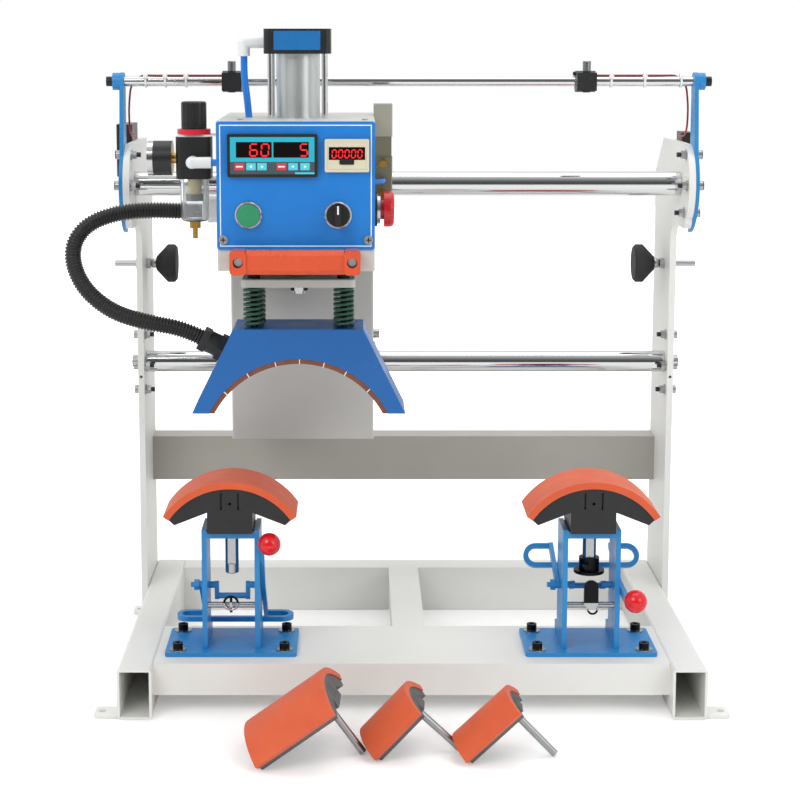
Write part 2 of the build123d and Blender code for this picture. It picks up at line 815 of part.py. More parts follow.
def trapezoid(inset, bottom):
    """The heat platen's side outline, drawn in by an even inset."""
    lean = (cover_bottom_half - cover_top_half) / (cover_top - cover_bottom)
    slant = inset * math.sqrt(1 + lean * lean)
    top = cover_top - inset
    half_top = cover_top_half + lean * inset - slant
    half_bottom = cover_bottom_half - slant + lean * (cover_bottom - bottom)
    return [(-half_bottom, bottom), (half_bottom, bottom), (half_top, top), (-half_top, top)]


def arch(radius, margin):
    y0 = press_y - press_half_depth - margin
    return rod_y(0, y0, y0 + cover_depth + 2 * margin, arch_centre_z, radius)


def cover_slope():
    """The angle of the cover's side above the horizontal, seen as its outward normal."""
    return math.atan2(cover_bottom_half - cover_top_half, cover_top - cover_bottom)


def gland_seat():
    """The point on the left slope where the gland sits, and its outward direction."""
    lean = (cover_bottom_half - cover_top_half) / (cover_top - cover_bottom)
    x = -(cover_top_half + lean * (cover_top - gland_z))
    a = cover_slope()
    return Vector(x, press_y, gland_z), Vector(-math.cos(a), 0, math.sin(a))


def platen_cover():
    """The painted sheet cover, open underneath, with the arch cut out of its faces."""
    y0 = press_y - press_half_depth
    cover = prism_y(trapezoid(0, cover_bottom), y0, y0 + cover_depth)
    cover -= prism_y(trapezoid(sheet, cover_bottom - 5), y0 + sheet, y0 + cover_depth - sheet)
    cover -= arch(arch_radius, 1)
    for x, y in spring_places:
        cover -= rod_z(x, y, cover_top - 5, cover_top + 1, guide_bolt_radius + 0.05)
    seat, out = gland_seat()
    return cover - Plane(seat - out * 6, z_dir=out) * Cylinder(8, 20)


def heat_block():
    """The cast block whose arched face carries the heater."""
    y0 = press_y - press_half_depth + sheet + 0.5
    block = prism_y(trapezoid(sheet + 1.2, cover_bottom + 1), y0, y0 + cover_depth - 2 * sheet - 1)
    block += box(-40, 40, y0, y0 + cover_depth - 2 * sheet - 1, cover_top - sheet - 1.5, cover_top - sheet)
    block -= arch(arch_radius, 1)
    for x, y in spring_places:
        block -= rod_z(x, y, cover_top - 14, cover_top + 1, guide_bolt_radius + 0.05)
    return block


def heater_strip():
    """The heater that lines the arch."""
    outer = arch(arch_radius - 0.05, -1)
    strip = outer - arch(arch_radius - heater_thickness, 1)
    return strip & box(-200, 200, -400, 200, cover_bottom, cover_top)


def hose_gland():
    """A hexagon, a body and a clamping collar, square to the cover's slope."""
    seat, out = gland_seat()
    frame = Plane(seat, x_dir=(0, 1, 0), z_dir=out)
    piece = extrude(frame * RegularPolygon(17, 6), amount=7)
    piece += frame.offset(7) * Pos(0, 0, 6.5) * Cylinder(13, 13)
    piece += extrude(frame.offset(20) * Rectangle(25, 25), amount=9)
    return piece - frame * Pos(0, 0, 14) * Cylinder(7.2, 40)


def hose_fitting():
    """The oblong socket on the head's left side."""
    socket = box(-fitting_end_x, -head_half, fitting_y - 13, fitting_y + 13, fitting_z - 13, fitting_z + 18)
    return fillet(socket.edges().filter_by(Axis.X), 8)


# Shares of the way to the hose's reach, to the fitting's Y and up to the fitting's Z.
hose_shares = ((0.401, 0.015, 0.122), (0.668, 0.154, 0.192), (0.883, 0.308, 0.355), (0.993, 0.462, 0.561),
               (1.0, 0.615, 0.759), (0.883, 0.754, 0.915), (0.661, 0.877, 0.9965), (0.414, 0.969, 1.014))


def hose_route():
    """The hose's route: out of the gland, round a wide loop and into the socket."""
    seat, out = gland_seat()
    start = seat + out * 29
    second = start + out * 24
    route = [(start.X, start.Y, start.Z), (second.X, second.Y, second.Z)]
    for along, back, up in hose_shares:
        route.append((start.X + along * (-hose_reach - start.X), start.Y + back * (fitting_y - start.Y),
                      start.Z + up * (fitting_z - start.Z)))
    return route + [(-fitting_end_x - 26, fitting_y, fitting_z), (-fitting_end_x, fitting_y, fitting_z)]


def ribbed_hose():
    """The corrugated hose: ribs lofted along the route, with a plain bore."""
    path, radii = filleted_path(hose_route())
    wire = Wire(path.edges())
    length = wire.length
    ribs = int(length / hose_rib_pitch)
    step = length / ribs
    rings = []
    for i in range(ribs):
        for share, radius in ((0.0, hose_root_radius), (0.3, hose_radius), (0.6, hose_radius),
                              (0.9, hose_root_radius)):
            rings.append((i + share, radius))
    rings.append((ribs, hose_root_radius))
    sections = []
    for place_at, radius in rings:
        t = min(1.0, place_at * step / length)
        plane = Plane(wire @ t, x_dir=(0, 1, 0), z_dir=wire % t)
        sections.append(Wire.make_circle(radius, plane))
    outer = Solid.make_loft(sections, ruled=True)
    bore = sweep(Plane(wire @ 0, x_dir=(0, 1, 0), z_dir=wire % 0) * Circle(hose_bore_radius), path=wire)
    print("hose: length", round(length, 1), "ribs", ribs, "radii", [round(r) for r in radii])
    return Part(outer.wrapped) - bore


# ---------------------------------------------------------------- air service

def regulator_body():
    """The body with its rear inlet, ring nut, bracket and side-facing gauge."""
    x = regulator_x
    y = regulator_y
    h = regulator_size / 2
    body = box(x - h, x + h, y - h, y + h, regulator_z0, regulator_top)
    body = fillet(body.edges().filter_by(Axis.Z), 7)
    body -= rod_y(x, y + h - inlet_depth, y + h + 1, regulator_z0 + 22, inlet_radius)
    ring = rod_z(x, y, regulator_top + 2, regulator_top + 8, 19)
    neck = rod_z(x, y, regulator_top, regulator_top + 8, 13)
    bracket = box(x - 16, -head_half, y - 14, y + 14, regulator_top, regulator_top + 2)
    gauge_z = regulator_z0 + 23
    stem = rod_x(x - h - 5, x - h, y, gauge_z, 6)
    case = rod_x(x - h - 5 - gauge_depth, x - h - 5, y, gauge_z, gauge_radius)
    case -= rod_x(x - h - 6 - gauge_depth, x - h - gauge_depth, y, gauge_z, gauge_radius - 2)
    return body + ring + neck + bracket + stem + case


def regulator_knob():
    z0 = regulator_top + 8 + soft_gap
    z1 = z0 + regulator_knob_height
    knob = rod_z(regulator_x, regulator_y, z0, z1, regulator_knob_radius)
    knob = chamfer(knob.faces().sort_by(Axis.Z)[-1].edges(), 1.5)
    for i in range(16):
        a = i * math.pi / 8
        r = regulator_knob_radius + 0.6
        x = regulator_x + r * math.cos(a)
        y = regulator_y + r * math.sin(a)
        knob -= rod_z(x, y, z0 + 3, z1 + 1, 1.5)
    return knob


def regulator_bowl():
    z0 = regulator_z0 - bowl_height
    bowl = rod_z(regulator_x, regulator_y, z0, regulator_z0, bowl_radius)
    bowl = fillet(bowl.faces().sort_by(Axis.Z)[0].edges(), 5)
    return bowl - rod_z(regulator_x, regulator_y, z0 + 3, regulator_z0 + 1, bowl_radius - 2.5)


def regulator_core():
    """The filter element inside the bowl and the drain under it."""
    x = regulator_x
    y = regulator_y
    bottom = regulator_z0 - bowl_height
    element = rod_z(x, y, regulator_z0 - 18, regulator_z0, 8) + rod_z(x, y, regulator_z0 - 26, regulator_z0 - 18, 10)
    drain = hex_z(x, y, bottom - 8, bottom, 13) + rod_z(x, y, bottom - 20, bottom - 8, 3)
    return element, drain


def elbow_out():
    """The white push-in elbow at the regulator's front, turned to the head."""
    x = regulator_x
    y = regulator_y - regulator_size / 2
    z = regulator_z0 + 20
    body = rod_y(x, y - 14, y, z, 7) + Pos(x, y - 14, z) * Sphere(7)
    return body + rod_x(x, x + 22, y - 14, z, 6.5)


def elbow_top():
    """The white push-in elbow on the cylinder's top cap."""
    half = cap_size / 2
    x = -half
    z = cylinder_top - 15
    body = rod_x(x - 24, x, press_y, z, 7)
    body += Pos(x - 24, press_y, z) * Sphere(7)
    return body + rod_z(x - 24, press_y, z - 16, z, 7)


def air_tubes(extra):
    """The blue tubes: to the head's left side, down from the cap and from the valve."""
    x = regulator_x + 22
    y = regulator_y - regulator_size / 2 - 14
    first = rod_x(x, -head_half + 8, y, regulator_z0 + 20, air_tube_radius + extra)
    top_x = -cap_size / 2 - 24
    z = cylinder_top - 31
    second, radii = tube_along([(top_x, press_y, z), (top_x, press_y, z - 22), (top_x + 3, press_y, z - 46),
                                (top_x + 6, press_y, head_top - 8)], air_tube_radius + extra)
    vx = valve_x0 + valve_width / 2
    vz = valve_z0 + 24
    third, radii = tube_along([(vx, valve_y0, vz), (vx, valve_y0 - 18, vz),
                               (head_half - 8, valve_y0 - 34, vz)], 3.0 + extra)
    return first, second, third


def air_valve():
    """The solenoid valve beside the head: coil, body and base in one stack."""
    x0 = valve_x0
    x1 = valve_x0 + valve_width
    y0 = valve_y0
    y1 = valve_y0 + valve_depth
    body = box(x0, x1, y0, y1, valve_z0, valve_z0 + 51)
    body = fillet(body.edges().filter_by(Axis.Z), 1.5)
    coil = box(x0, x1, y0, y1, valve_top - 38, valve_top)
    coil = fillet(coil.edges().filter_by(Axis.Z), 1.5)
    return body + coil + box(x0, x1 - 1, y0 + 2, y1 - 2, valve_z0 + 50, valve_top - 37)


def silencers():
    """Two brass silencers that point forward from the valve."""
    x = valve_x0 + valve_width / 2
    pieces = []
    for z in (valve_z0 + 44, valve_z0 + 8):
        pieces.append(rod_y(x, valve_y0 - 4, valve_y0, z, 5) + rod_y(x, valve_y0 - 14, valve_y0 - 4, z, 4))
    return pieces


# ---------------------------------------------------------------- stations

def station_frame():
    """One welded station frame, drawn about its own middle plane."""
    plate_top = tube_height + station_plate_thickness
    plate = box(-station_plate_half, station_plate_half, station_plate_y0, station_plate_y1,
                tube_height, plate_top)
    plate = fillet(plate.edges().filter_by(Axis.Z), 4)
    for dx in (-63, 63):
        for y in (station_plate_y0 + 12, station_plate_y1 - 10):
            plate -= rod_z(dx, y, tube_height - 1, plate_top + 1, 3.1)
    inner = side_outer - side_thickness
    outline = [(side_y0, plate_top), (foot_rear, plate_top), (foot_rear, foot_top), (side_y1, foot_top),
               (side_y1, side_top), (side_y0, side_top)]
    side = prism_x(outline, inner, side_outer)
    side -= rod_x(inner - 1, side_outer + 1, pivot_y, pivot_z, pivot_radius + running_gap)
    seat = box(-inner, inner, side_y0, side_y1, seat_top - seat_thickness, seat_top)
    seat -= rod_z(0, press_y, seat_top - 20, seat_top + 1, stem_radius + running_gap)
    return plate + side + mirrored(side) + seat


def station_screw(x, y):
    top = tube_height + station_plate_thickness
    washer = rod_z(x, y, top, top + 1.5, 10)
    head = rod_z(x, y, top + 1.5, top + 9, 6) - hex_z(x, y, top + 5, top + 10, 6)
    return washer + head + rod_z(x, y, tube_height - tube_wall, top, 3)


def station_fittings():
    """Each station's cross rod, and the rings and strap that hang on it."""
    inner = side_outer - side_thickness
    cross = rod_x(-inner, inner, cross_rod_y, cross_rod_z, cross_rod_radius)
    front = cross_rod_y - cross_rod_radius
    strap = box(-1.5, 1.5, front - 1.6, front, cross_rod_z - 8, cross_rod_z + 12)
    ring = Pos(0, front - 3.0, cross_rod_z + 4) * Rot(90, 0, 0) * Torus(8, 1.4)
    tongue = box(-8.5, 8.5, front - 4, front, cross_rod_z - 3, cross_rod_z + 31)
    tongue = fillet(tongue.edges().filter_by(Axis.Y), 8)
    low_ring = Pos(2, front - 2.0, cross_rod_z - 4) * Rot(90, 0, 0) * Torus(5.5, 1.2)
    left = [cross, strap + ring]
    right = [cross, tongue + low_ring]
    return ([Pos(-station_x, 0, 0) * piece for piece in left]
            + [Pos(station_x, 0, 0) * piece for piece in right])


def lever():
    """The lever with its pivot stubs, crank and rear bow, drawn with the lever up."""
    wall = side_outer
    arm_x0 = wall + soft_gap
    arm_x1 = arm_x0 + 5
    tip = (pivot_y - 29, pivot_z + 52)
    rear = (pivot_y + 60, pivot_z - 54)

    def bar(a, b, x0, x1, width):
        """A flat bar between two (y, z) points, with round ends."""
        dy = b[0] - a[0]
        dz = b[1] - a[1]
        length = math.hypot(dy, dz)
        ny = -dz / length * width / 2
        nz = dy / length * width / 2
        outline = [(a[0] + ny, a[1] + nz), (b[0] + ny, b[1] + nz), (b[0] - ny, b[1] - nz), (a[0] - ny, a[1] - nz)]
        piece = prism_x(outline, x0, x1)
        piece += rod_x(x0, x1, a[0], a[1], width / 2)
        return piece + rod_x(x0, x1, b[0], b[1], width / 2)

    pivot = (pivot_y, pivot_z)
    piece = bar(pivot, tip, arm_x0, arm_x1, 10)
    piece += bar(pivot, rear, arm_x0, arm_x1, 9)
    piece += bar(pivot, rear, -arm_x1, -arm_x0, 9)
    inner = side_outer - side_thickness
    crank = (pivot_y + 2, pivot_z - 14)
    for side in (-1, 1):
        stub_in = side * (inner - 12)
        stub_out = side * arm_x0
        piece += rod_x(stub_in, stub_out, pivot_y, pivot_z, pivot_radius)
        cheek = bar(pivot, crank, min(side * (inner - 12), side * (inner - 7)),
                    max(side * (inner - 12), side * (inner - 7)), 9)
        piece += cheek
    piece += rod_x(-inner + 8, inner - 8, crank[0], crank[1], 3.5)
    piece += rod_x(-arm_x1 - 10, -arm_x1, pivot_y, pivot_z, 3)
    piece += hex_x(-arm_x1 - 6, -arm_x1, pivot_y, pivot_z, 13)
    bow_y = pivot_y + 36
    bow_z = pivot_z - 54.2
    half = bow_bar / 2
    front_bar = box(-bow_half + 12, bow_half - 12, bow_y - half, bow_y + half, bow_z - half, bow_z + half)
    piece += front_bar
    for side in (-1, 1):
        inner_x = side * arm_x0
        turn_x = side * (bow_half - 12)
        flare = box(min(inner_x, turn_x), max(inner_x, turn_x), rear[0] - half, rear[0] + half,
                    bow_z - half, bow_z + half)
        middle_y = (rear[0] + bow_y) / 2
        radius = (rear[0] - bow_y) / 2
        hairpin = rod_z(turn_x, middle_y, bow_z - half, bow_z + half, radius + half)
        hairpin -= rod_z(turn_x, middle_y, bow_z - bow_bar, bow_z + bow_bar, radius - half)
        hairpin &= box(min(turn_x, side * 200), max(turn_x, side * 200), -300, 100, 0, 300)
        piece += flare + hairpin
    neck = rod_x(arm_x1, arm_x1 + 5, tip[0], tip[1], 4)
    ball = Pos((arm_x0 + arm_x1) / 2 + 9, tip[0] - 4, tip[1] + 7) * Sphere(ball_radius)
    return (piece + neck) - ball, ball


def swung(piece, degrees):
    """Turn a lever piece about its pivot, positive towards the front."""
    return Pos(0, pivot_y, pivot_z) * Rot(degrees, 0, 0) * Pos(0, -pivot_y, -pivot_z) * piece


# ---------------------------------------------------------------- lower platens

def pad_sector(radius, half_angle, centre_z, y0, y1, thickness):
    """A curved pad: a sector of a ring, extruded along Y."""
    outer = rod_y(0, y0, y1, centre_z, radius) - rod_y(0, y0 - 1, y1 + 1, centre_z, radius - thickness)
    a = math.radians(half_angle)
    reach = radius * 2.5
    wedge = prism_y([(0, centre_z), (reach * math.sin(a), centre_z + reach * math.cos(a)),
                     (0, centre_z + reach), (-reach * math.sin(a), centre_z + reach * math.cos(a))],
                    y0 - 1, y1 + 1)
    return outer & wedge


def platen_core():
    """The cast core under a station's pad, with its neck."""
    a = math.radians(pad_half_angle)
    inner = pad_radius - pad_thickness
    end_x = inner * math.sin(a)
    end_z = pad_centre_z + inner * math.cos(a)
    y0 = platen_y0 + 2
    y1 = platen_y1 - 2
    crown = pad_centre_z + inner
    disc = rod_y(0, y0, y1, pad_centre_z, inner)
    keep = prism_y([(-end_x, end_z), (-end_x + 6.5, end_z - 6), (-neck_half, end_z + 9), (-neck_half, seat_top),
                    (neck_half, seat_top), (neck_half, end_z + 9), (end_x - 6.5, end_z - 6), (end_x, end_z),
                    (end_x + 10, end_z + 60), (-end_x - 10, end_z + 60)], y0 - 1, y1 + 1)
    core = disc & keep
    for x in (-10, 10):
        core -= box(x - 1, x + 1, y0 - 1, y0 + 4, crown - 25, crown - 5)
    return core - rod_y(0, y0 - 1, y0 + 6, crown - 18, 1.8)


def platen_stem():
    """The ground stem that stands in the station's seat."""
    stem = rod_z(0, press_y, stem_bottom, seat_top, stem_radius)
    flat = box(-20, 20, press_y - 20, press_y - stem_radius + 1.5, stem_bottom + 12, seat_top - 9)
    return chamfer(stem.faces().sort_by(Axis.Z)[0].edges(), 1) - flat


def stem_collar():
    """The clamping collar and disc low on the right stem, with its screw."""
    z = stem_bottom
    bore = rod_z(0, press_y, z - 1, z + 20, stem_radius)
    collar = rod_z(0, press_y, z + 4, z + 19, 12)
    disc = rod_z(0, press_y, z + 0.5, z + 4, 18)
    screw = rod_y(-6, press_y - 17, press_y - 9, z + 11.5, 3)
    return collar + disc + screw - bore


def spare_platen(length, radius, half_angle):
    """A spare platen about its arc's centre: pad, core and stem along Y and Z."""
    half = length / 2
    pad = pad_sector(radius, half_angle, 0, -half, half, spare_pad_thickness)
    inner = radius - spare_pad_thickness
    a = math.radians(half_angle)
    end_x = inner * math.sin(a)
    end_z = inner * math.cos(a)
    foot = spare_core_foot
    neck = end_x * 0.35
    core = rod_y(0, spare_core_inset - half, half - spare_core_inset, 0, inner)
    core &= prism_y([(-end_x, end_z), (foot - end_x, end_z - foot), (-neck, end_z + 7), (-neck, end_z - 4),
                     (neck, end_z - 4), (neck, end_z + 7), (end_x - foot, end_z - foot), (end_x, end_z),
                     (end_x, radius), (-end_x, radius)], -half, half)
    for x in (-8, 0, 8):
        core -= box(x - 0.8, x + 0.8, half - 5, half + 1, end_z + 4, end_z + (inner - end_z) * 0.75)
    stem_y = spare_stem_share * half
    return pad, core + rod_z(0, stem_y, end_z - spare_stem_reach, end_z, spare_stem_radius)


def spare_rise(length):
    """The angle at which a platen rests on its low end's feet and on its stem's tip."""
    half = length / 2
    run = half - spare_core_inset + spare_stem_share * half - spare_stem_radius
    return math.atan((spare_stem_reach - spare_core_foot) / run)


def lay_down(size, spot):
    """Stand a spare platen on the floor, with its pad's low front corner over a spot."""
    length, radius, half_angle = size
    pieces = spare_platen(*size)
    rise = spare_rise(length)
    turn = math.radians(spare_turn)
    a = math.radians(half_angle)
    along = Vector(math.cos(rise) * math.cos(turn), -math.cos(rise) * math.sin(turn), math.sin(rise))
    side = Vector(math.sin(turn), math.cos(turn), 0)
    crown = along.cross(side)
    frame = Plane((0, 0, 0), x_dir=side * -1, z_dir=crown)
    corner = crown * (radius * math.cos(a)) - side * (radius * math.sin(a)) - along * (length / 2)
    laid = [frame.location * piece for piece in pieces]
    floor_z = min(piece.bounding_box().min.Z for piece in laid)
    shift = Vector(spot[0] - corner.X, spot[1] - corner.Y, -floor_z)
    end_z = (radius - spare_pad_thickness) * math.cos(a)
    foot = shift + along * (spare_stem_share * length / 2)
    tip = foot + crown * (end_z - spare_stem_reach)
    top = foot + crown * (end_z - 4)
    print("spare stem from", [round(v, 2) for v in top], "to", [round(v, 2) for v in tip])
    return [Pos(*shift) * piece for piece in laid]


# ---------------------------------------------------------------- write the nodes

def write_frame():
    tube = side_tube()
    save("side_tubes", tube, mirrored(tube))
    save("front_beam", front_beam())
    save("rear_beam", beam(-inner_half, inner_half, rear_beam_y0, rear_beam_y0 + rear_beam_depth, 0,
                           tube_height, "X"))
    save("centre_beam", beam(-centre_beam_width / 2, centre_beam_width / 2,
                             front_beam_y0 + front_beam_depth, rear_beam_y0,
                             tube_height - low_beam_height, tube_height, "Y"))
    save("floor_tabs", *[floor_tab(side, y) for side in (-1, 1) for y in (-1, 1)])
    plate = upright()
    save("uprights", plate, mirrored(plate))
    save("mid_rail", beam(-half_base, half_base, rail_front, rail_front + rail_depth,
                          rail_top_z - rail_height, rail_top_z, "X"))
    save("guide_rods", guide_rod(upper_rod_y, upper_rod_z, upper_rod_radius),
         guide_rod(lower_rod_y, lower_rod_z, lower_rod_radius))
    bolts = frame_bolts() + [laser_end_screw()]
    save("frame_bolts", *bolts, *[mirrored(bolt) for bolt in bolts])
    stud = bumper_stud()
    save("bumper_studs", stud, mirrored(stud))
    pad = bumper_pad()
    save("bumper_pads", pad, mirrored(pad))


def write_laser():
    arm, collar = laser_arm()
    save("laser_arms", arm, collar, mirrored(arm), mirrored(collar))
    save("laser_rod", laser_rod())
    save("laser_boxes", *laser_boxes())
    wires = []
    for side in (-1, 1):
        wire, radii = laser_wire(side, wire_radius)
        print("laser wire radii", [round(r, 1) for r in radii])
        wires.append(wire)
    save("laser_wires", *wires)
    clamp, module = laser_clamp()
    save("right_laser_clamp", clamp, module)
    save("left_laser_clamp", mirrored(clamp), mirrored(module))


def write_carriage():
    save("carriage_column", place(carriage_column()))
    bushings = [rod_bushing(upper_rod_y, upper_rod_z, upper_rod_radius),
                rod_bushing(lower_rod_y, lower_rod_z, lower_rod_radius)]
    save("rod_bushings", *[place(b) for b in bushings], *[place(mirrored(b)) for b in bushings])
    screws = [side_screw(y, z) for y, z in low_screw_spots]
    screws += [mirrored(screw) for screw in screws]
    save("carriage_screws", *[place(s) for s in screws + panel_screws()])
    save("head_shell", place(head_shell()))
    save("front_panel", place(front_panel()))
    save("controller", place(housing(controller_x0, controller_width, controller_z0, controller_height, 60)))
    save("counter", place(counter()))
    save("counter_key", place(counter_key()))
    save("control_rings", place(control_ring(button_x)), place(control_ring(selector_x)), place(estop_base()))
    save("green_button", place(green_button()))
    save("selector_knob", place(selector_knob()))
    save("estop_button", place(estop_button()))
    save("handle", place(handle()))


def write_air():
    save("cylinder_caps", *[place(cap) for cap in cylinder_caps()])
    save("cylinder_barrel", *[place(piece) for piece in cylinder_barrel()])
    save("regulator_body", place(regulator_body()))
    save("regulator_knob", place(regulator_knob()))
    save("regulator_bowl", place(regulator_bowl()))
    save("regulator_core", *[place(piece) for piece in regulator_core()])
    fittings = [elbow_out(), elbow_top(), hose_fitting()] + silencers()
    save("air_fittings", *[place(piece) for piece in fittings])
    save("air_tubes", *[place(tube) for tube in air_tubes(0)])
    save("air_valve", place(air_valve()))


def write_press():
    save("ram_plate", place(ram_plate()))
    save("piston_rod", place(piston_rod()))
    save("guide_bolts", *[place(bolt) for bolt in guide_bolts()])
    bottom = cover_top + soft_gap
    top = ram_top - ram_thickness - soft_gap
    print("spring gap between turns", round((top - bottom - spring_wire) / spring_turns - spring_wire, 2))
    save("springs", *[place(spring(x, y, bottom, top)) for x, y in spring_places])
    save("platen_cover", place(platen_cover()))
    save("heat_block", place(heat_block()))
    save("heater_strip", place(heater_strip()))
    save("hose_gland", place(hose_gland()))
    save("hose", place(ribbed_hose()))


def write_stations():
    frame = station_frame()
    save("station_frames", Pos(-station_x, 0, 0) * frame, Pos(station_x, 0, 0) * frame)
    screws = [station_screw(x, y) for x, y in station_screw_places()]
    collar = Pos(station_x, 0, 0) * stem_collar()
    save("station_hardware", *screws, *station_fittings(), collar)
    pad = pad_sector(pad_radius, pad_half_angle, pad_centre_z, platen_y0, platen_y1, pad_thickness)
    core = platen_core() + platen_stem()
    levers = lever()
    for side, name, swing in ((-1, "left", 0), (1, "right", lever_swing)):
        at = Pos(side * station_x, 0, 0)
        save(name + "_pad", at * pad)
        save(name + "_platen", at * core)
        save(name + "_lever", at * swung(levers[0], swing))
        save(name + "_lever_ball", at * swung(levers[1], swing))


def write_spares():
    pads = []
    cores = []
    for size, spot in zip(spare_sizes, spare_places):
        pad, core = lay_down(size, spot)
        pads.append(pad)
        cores.append(core)
    save("spare_pads", *pads)
    save("spare_platens", *cores)


os.makedirs("parts", exist_ok=True)
write_frame()
write_laser()
write_carriage()
write_air()
write_press()
write_stations()
write_spares()
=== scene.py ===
# %% [markdown]
# # A cap heat press
# The press is a white welded frame with a pneumatic head that slides on chromed rods.
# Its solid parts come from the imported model, so this script only adds finishes and small surface pieces.
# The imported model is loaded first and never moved, because the motion model shares its frame.

# %% Load the press
import math

import bmesh
import bpy
from mathutils import Matrix, Vector


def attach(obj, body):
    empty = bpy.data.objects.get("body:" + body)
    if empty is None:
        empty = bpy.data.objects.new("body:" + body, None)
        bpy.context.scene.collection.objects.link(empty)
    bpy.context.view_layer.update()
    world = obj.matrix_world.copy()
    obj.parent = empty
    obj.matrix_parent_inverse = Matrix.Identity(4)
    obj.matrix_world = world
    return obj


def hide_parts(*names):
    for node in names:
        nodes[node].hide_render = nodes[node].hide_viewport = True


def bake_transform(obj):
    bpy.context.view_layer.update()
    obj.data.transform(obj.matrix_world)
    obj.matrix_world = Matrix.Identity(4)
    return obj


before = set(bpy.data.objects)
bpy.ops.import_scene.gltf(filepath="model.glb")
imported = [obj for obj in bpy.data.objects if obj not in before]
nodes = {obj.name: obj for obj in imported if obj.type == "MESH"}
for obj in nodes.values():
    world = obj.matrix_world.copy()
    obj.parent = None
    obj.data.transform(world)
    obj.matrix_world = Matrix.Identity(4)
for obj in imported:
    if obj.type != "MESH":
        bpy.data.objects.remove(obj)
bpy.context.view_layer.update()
CARRIAGE_X = -0.131
PRESS_Y = -0.122

# %% [markdown]
# ## The camera
# A product photographer stands a little above the press and keeps its uprights straight.
# A small downward pitch with a small shift gives nearly that view. A larger shift would keep the uprights
# fully parallel, but it would push the press out of the picture when it is seen from other sides.

# %% Camera
IMAGE_SIDE = 800
PIXELS_PER_UNIT = 1790.0
SENSOR_WIDTH = 36.0
PITCH = math.radians(8.0)
SHIFT_PIXELS = (45, -114)
CAMERA_SPOT = (-0.066, -2.1825, 0.784)
camera_data = bpy.data.cameras.new("photo_camera")
camera_data.sensor_width = SENSOR_WIDTH
camera_data.lens = PIXELS_PER_UNIT / IMAGE_SIDE * SENSOR_WIDTH
camera_data.shift_x = SHIFT_PIXELS[0] / IMAGE_SIDE
camera_data.shift_y = SHIFT_PIXELS[1] / IMAGE_SIDE
camera = bpy.data.objects.new("photo_camera", camera_data)
camera.location = CAMERA_SPOT
camera.rotation_euler = (math.radians(90) - PITCH, 0, 0)
bpy.context.scene.collection.objects.link(camera)
bpy.context.scene.camera = camera
bpy.context.scene.view_settings.view_transform = "Standard"
print("camera lens", round(camera_data.lens, 1), "shift", round(camera_data.shift_y, 3))

# %% [markdown]
# ## Two helpers for colours and nodes
# Paint charts give sRGB values, but a renderer adds up light, so it needs linear ones.
# One function turns a hex value to linear, and one adds a shader node with its settings and links.


# %% Colour and node helpers
def linear(hex_code):
    """Turn an sRGB hex value to linear colour."""
    shares = [int(hex_code[i:i + 2], 16) / 255 for i in (0, 2, 4)]
    light = [c / 12.92 if c <= 0.04045 else ((c + 0.055) / 1.055) ** 2.4 for c in shares]
    return (*light, 1.0)


def add(tree, kind, inputs=None, **settings):
    """Add a node. Inputs are values, or sockets of other nodes to link from."""
    node = tree.nodes.new(kind)
    for name, value in settings.items():
        setattr(node, name, value)
    for name, value in (inputs or {}).items():
        if isinstance(value, bpy.types.NodeSocket):
            tree.links.new(value, node.inputs[name])
        else:
            node.inputs[name].default_value = value
    return node


print("white paint in linear light", [round(c, 3) for c in linear("E6E7E6")])


# %% [markdown]
# ## Surface families
# Every finish on the press is one of a few kinds: baked powder coat, moulded plastic, machined or plated
# metal, and rubber. Each kind gets a function that starts a material, and the colours and grain sizes are
# given for each piece. Patterns read Object coordinates, which are metres here, so a scale is one over a
# real size in metres.

# %% Start a material
def start(name, hex_code, roughness, metallic=0.0):
    """A material with one shader, and the coordinates its patterns read."""
    material = bpy.data.materials.new(name)
    material.use_nodes = True
    tree = material.node_tree
    shader = tree.nodes["Principled BSDF"]
    shader.inputs["Base Color"].default_value = linear(hex_code)
    shader.inputs["Roughness"].default_value = roughness
    shader.inputs["Metallic"].default_value = metallic
    place = add(tree, "ShaderNodeTexCoord").outputs["Object"]
    return material, tree, shader, place


def mottle(tree, shader, place, hex_low, hex_high, size):
    """Let the colour drift between two close tones over patches of a size in metres."""
    cloud = add(tree, "ShaderNodeTexNoise", {"Vector": place, "Scale": 1 / size, "Detail": 3.0})
    tone = add(tree, "ShaderNodeMix", {0: cloud.outputs["Fac"], 6: linear(hex_low), 7: linear(hex_high)},
               data_type="RGBA")
    tree.links.new(tone.outputs[2], shader.inputs["Base Color"])


def grain(tree, shader, place, size, depth, rough_low, rough_high):
    """A fine bump of a size and depth in metres, with the gloss broken up by the same grain."""
    fine = add(tree, "ShaderNodeTexNoise", {"Vector": place, "Scale": 1 / size, "Detail": 2.0})
    bump = add(tree, "ShaderNodeBump", {"Height": fine.outputs["Fac"], "Strength": 0.6, "Distance": depth})
    tree.links.new(bump.outputs["Normal"], shader.inputs["Normal"])
    cloud = add(tree, "ShaderNodeTexNoise", {"Vector": place, "Scale": 1 / (size * 22), "Detail": 4.0})
    gloss = add(tree, "ShaderNodeMapRange", {"Value": cloud.outputs["Fac"], "From Min": 0.3,
                                             "From Max": 0.7, "To Min": rough_low, "To Max": rough_high})
    tree.links.new(gloss.outputs["Result"], shader.inputs["Roughness"])


print("surface helpers ready")


# %% [markdown]
# ## Powder coat
# The frame, head and stations are powder coated: dry paint that is baked until it flows.
# It leaves a soft gloss and a faint orange peel, dimples about 2 mm apart. They could be modelled, but a
# noise bump draws them without any new faces and needs no unwrapping.

# %% Powder coat
def powder_coat(name, hex_low, hex_high, rough=0.36):
    """Baked powder paint with its orange peel."""
    material, tree, shader, place = start(name, hex_high, rough)
    mottle(tree, shader, place, hex_low, hex_high, 0.09)
    grain(tree, shader, place, 0.002, 0.00012, rough - 0.06, rough + 0.10)
    return material


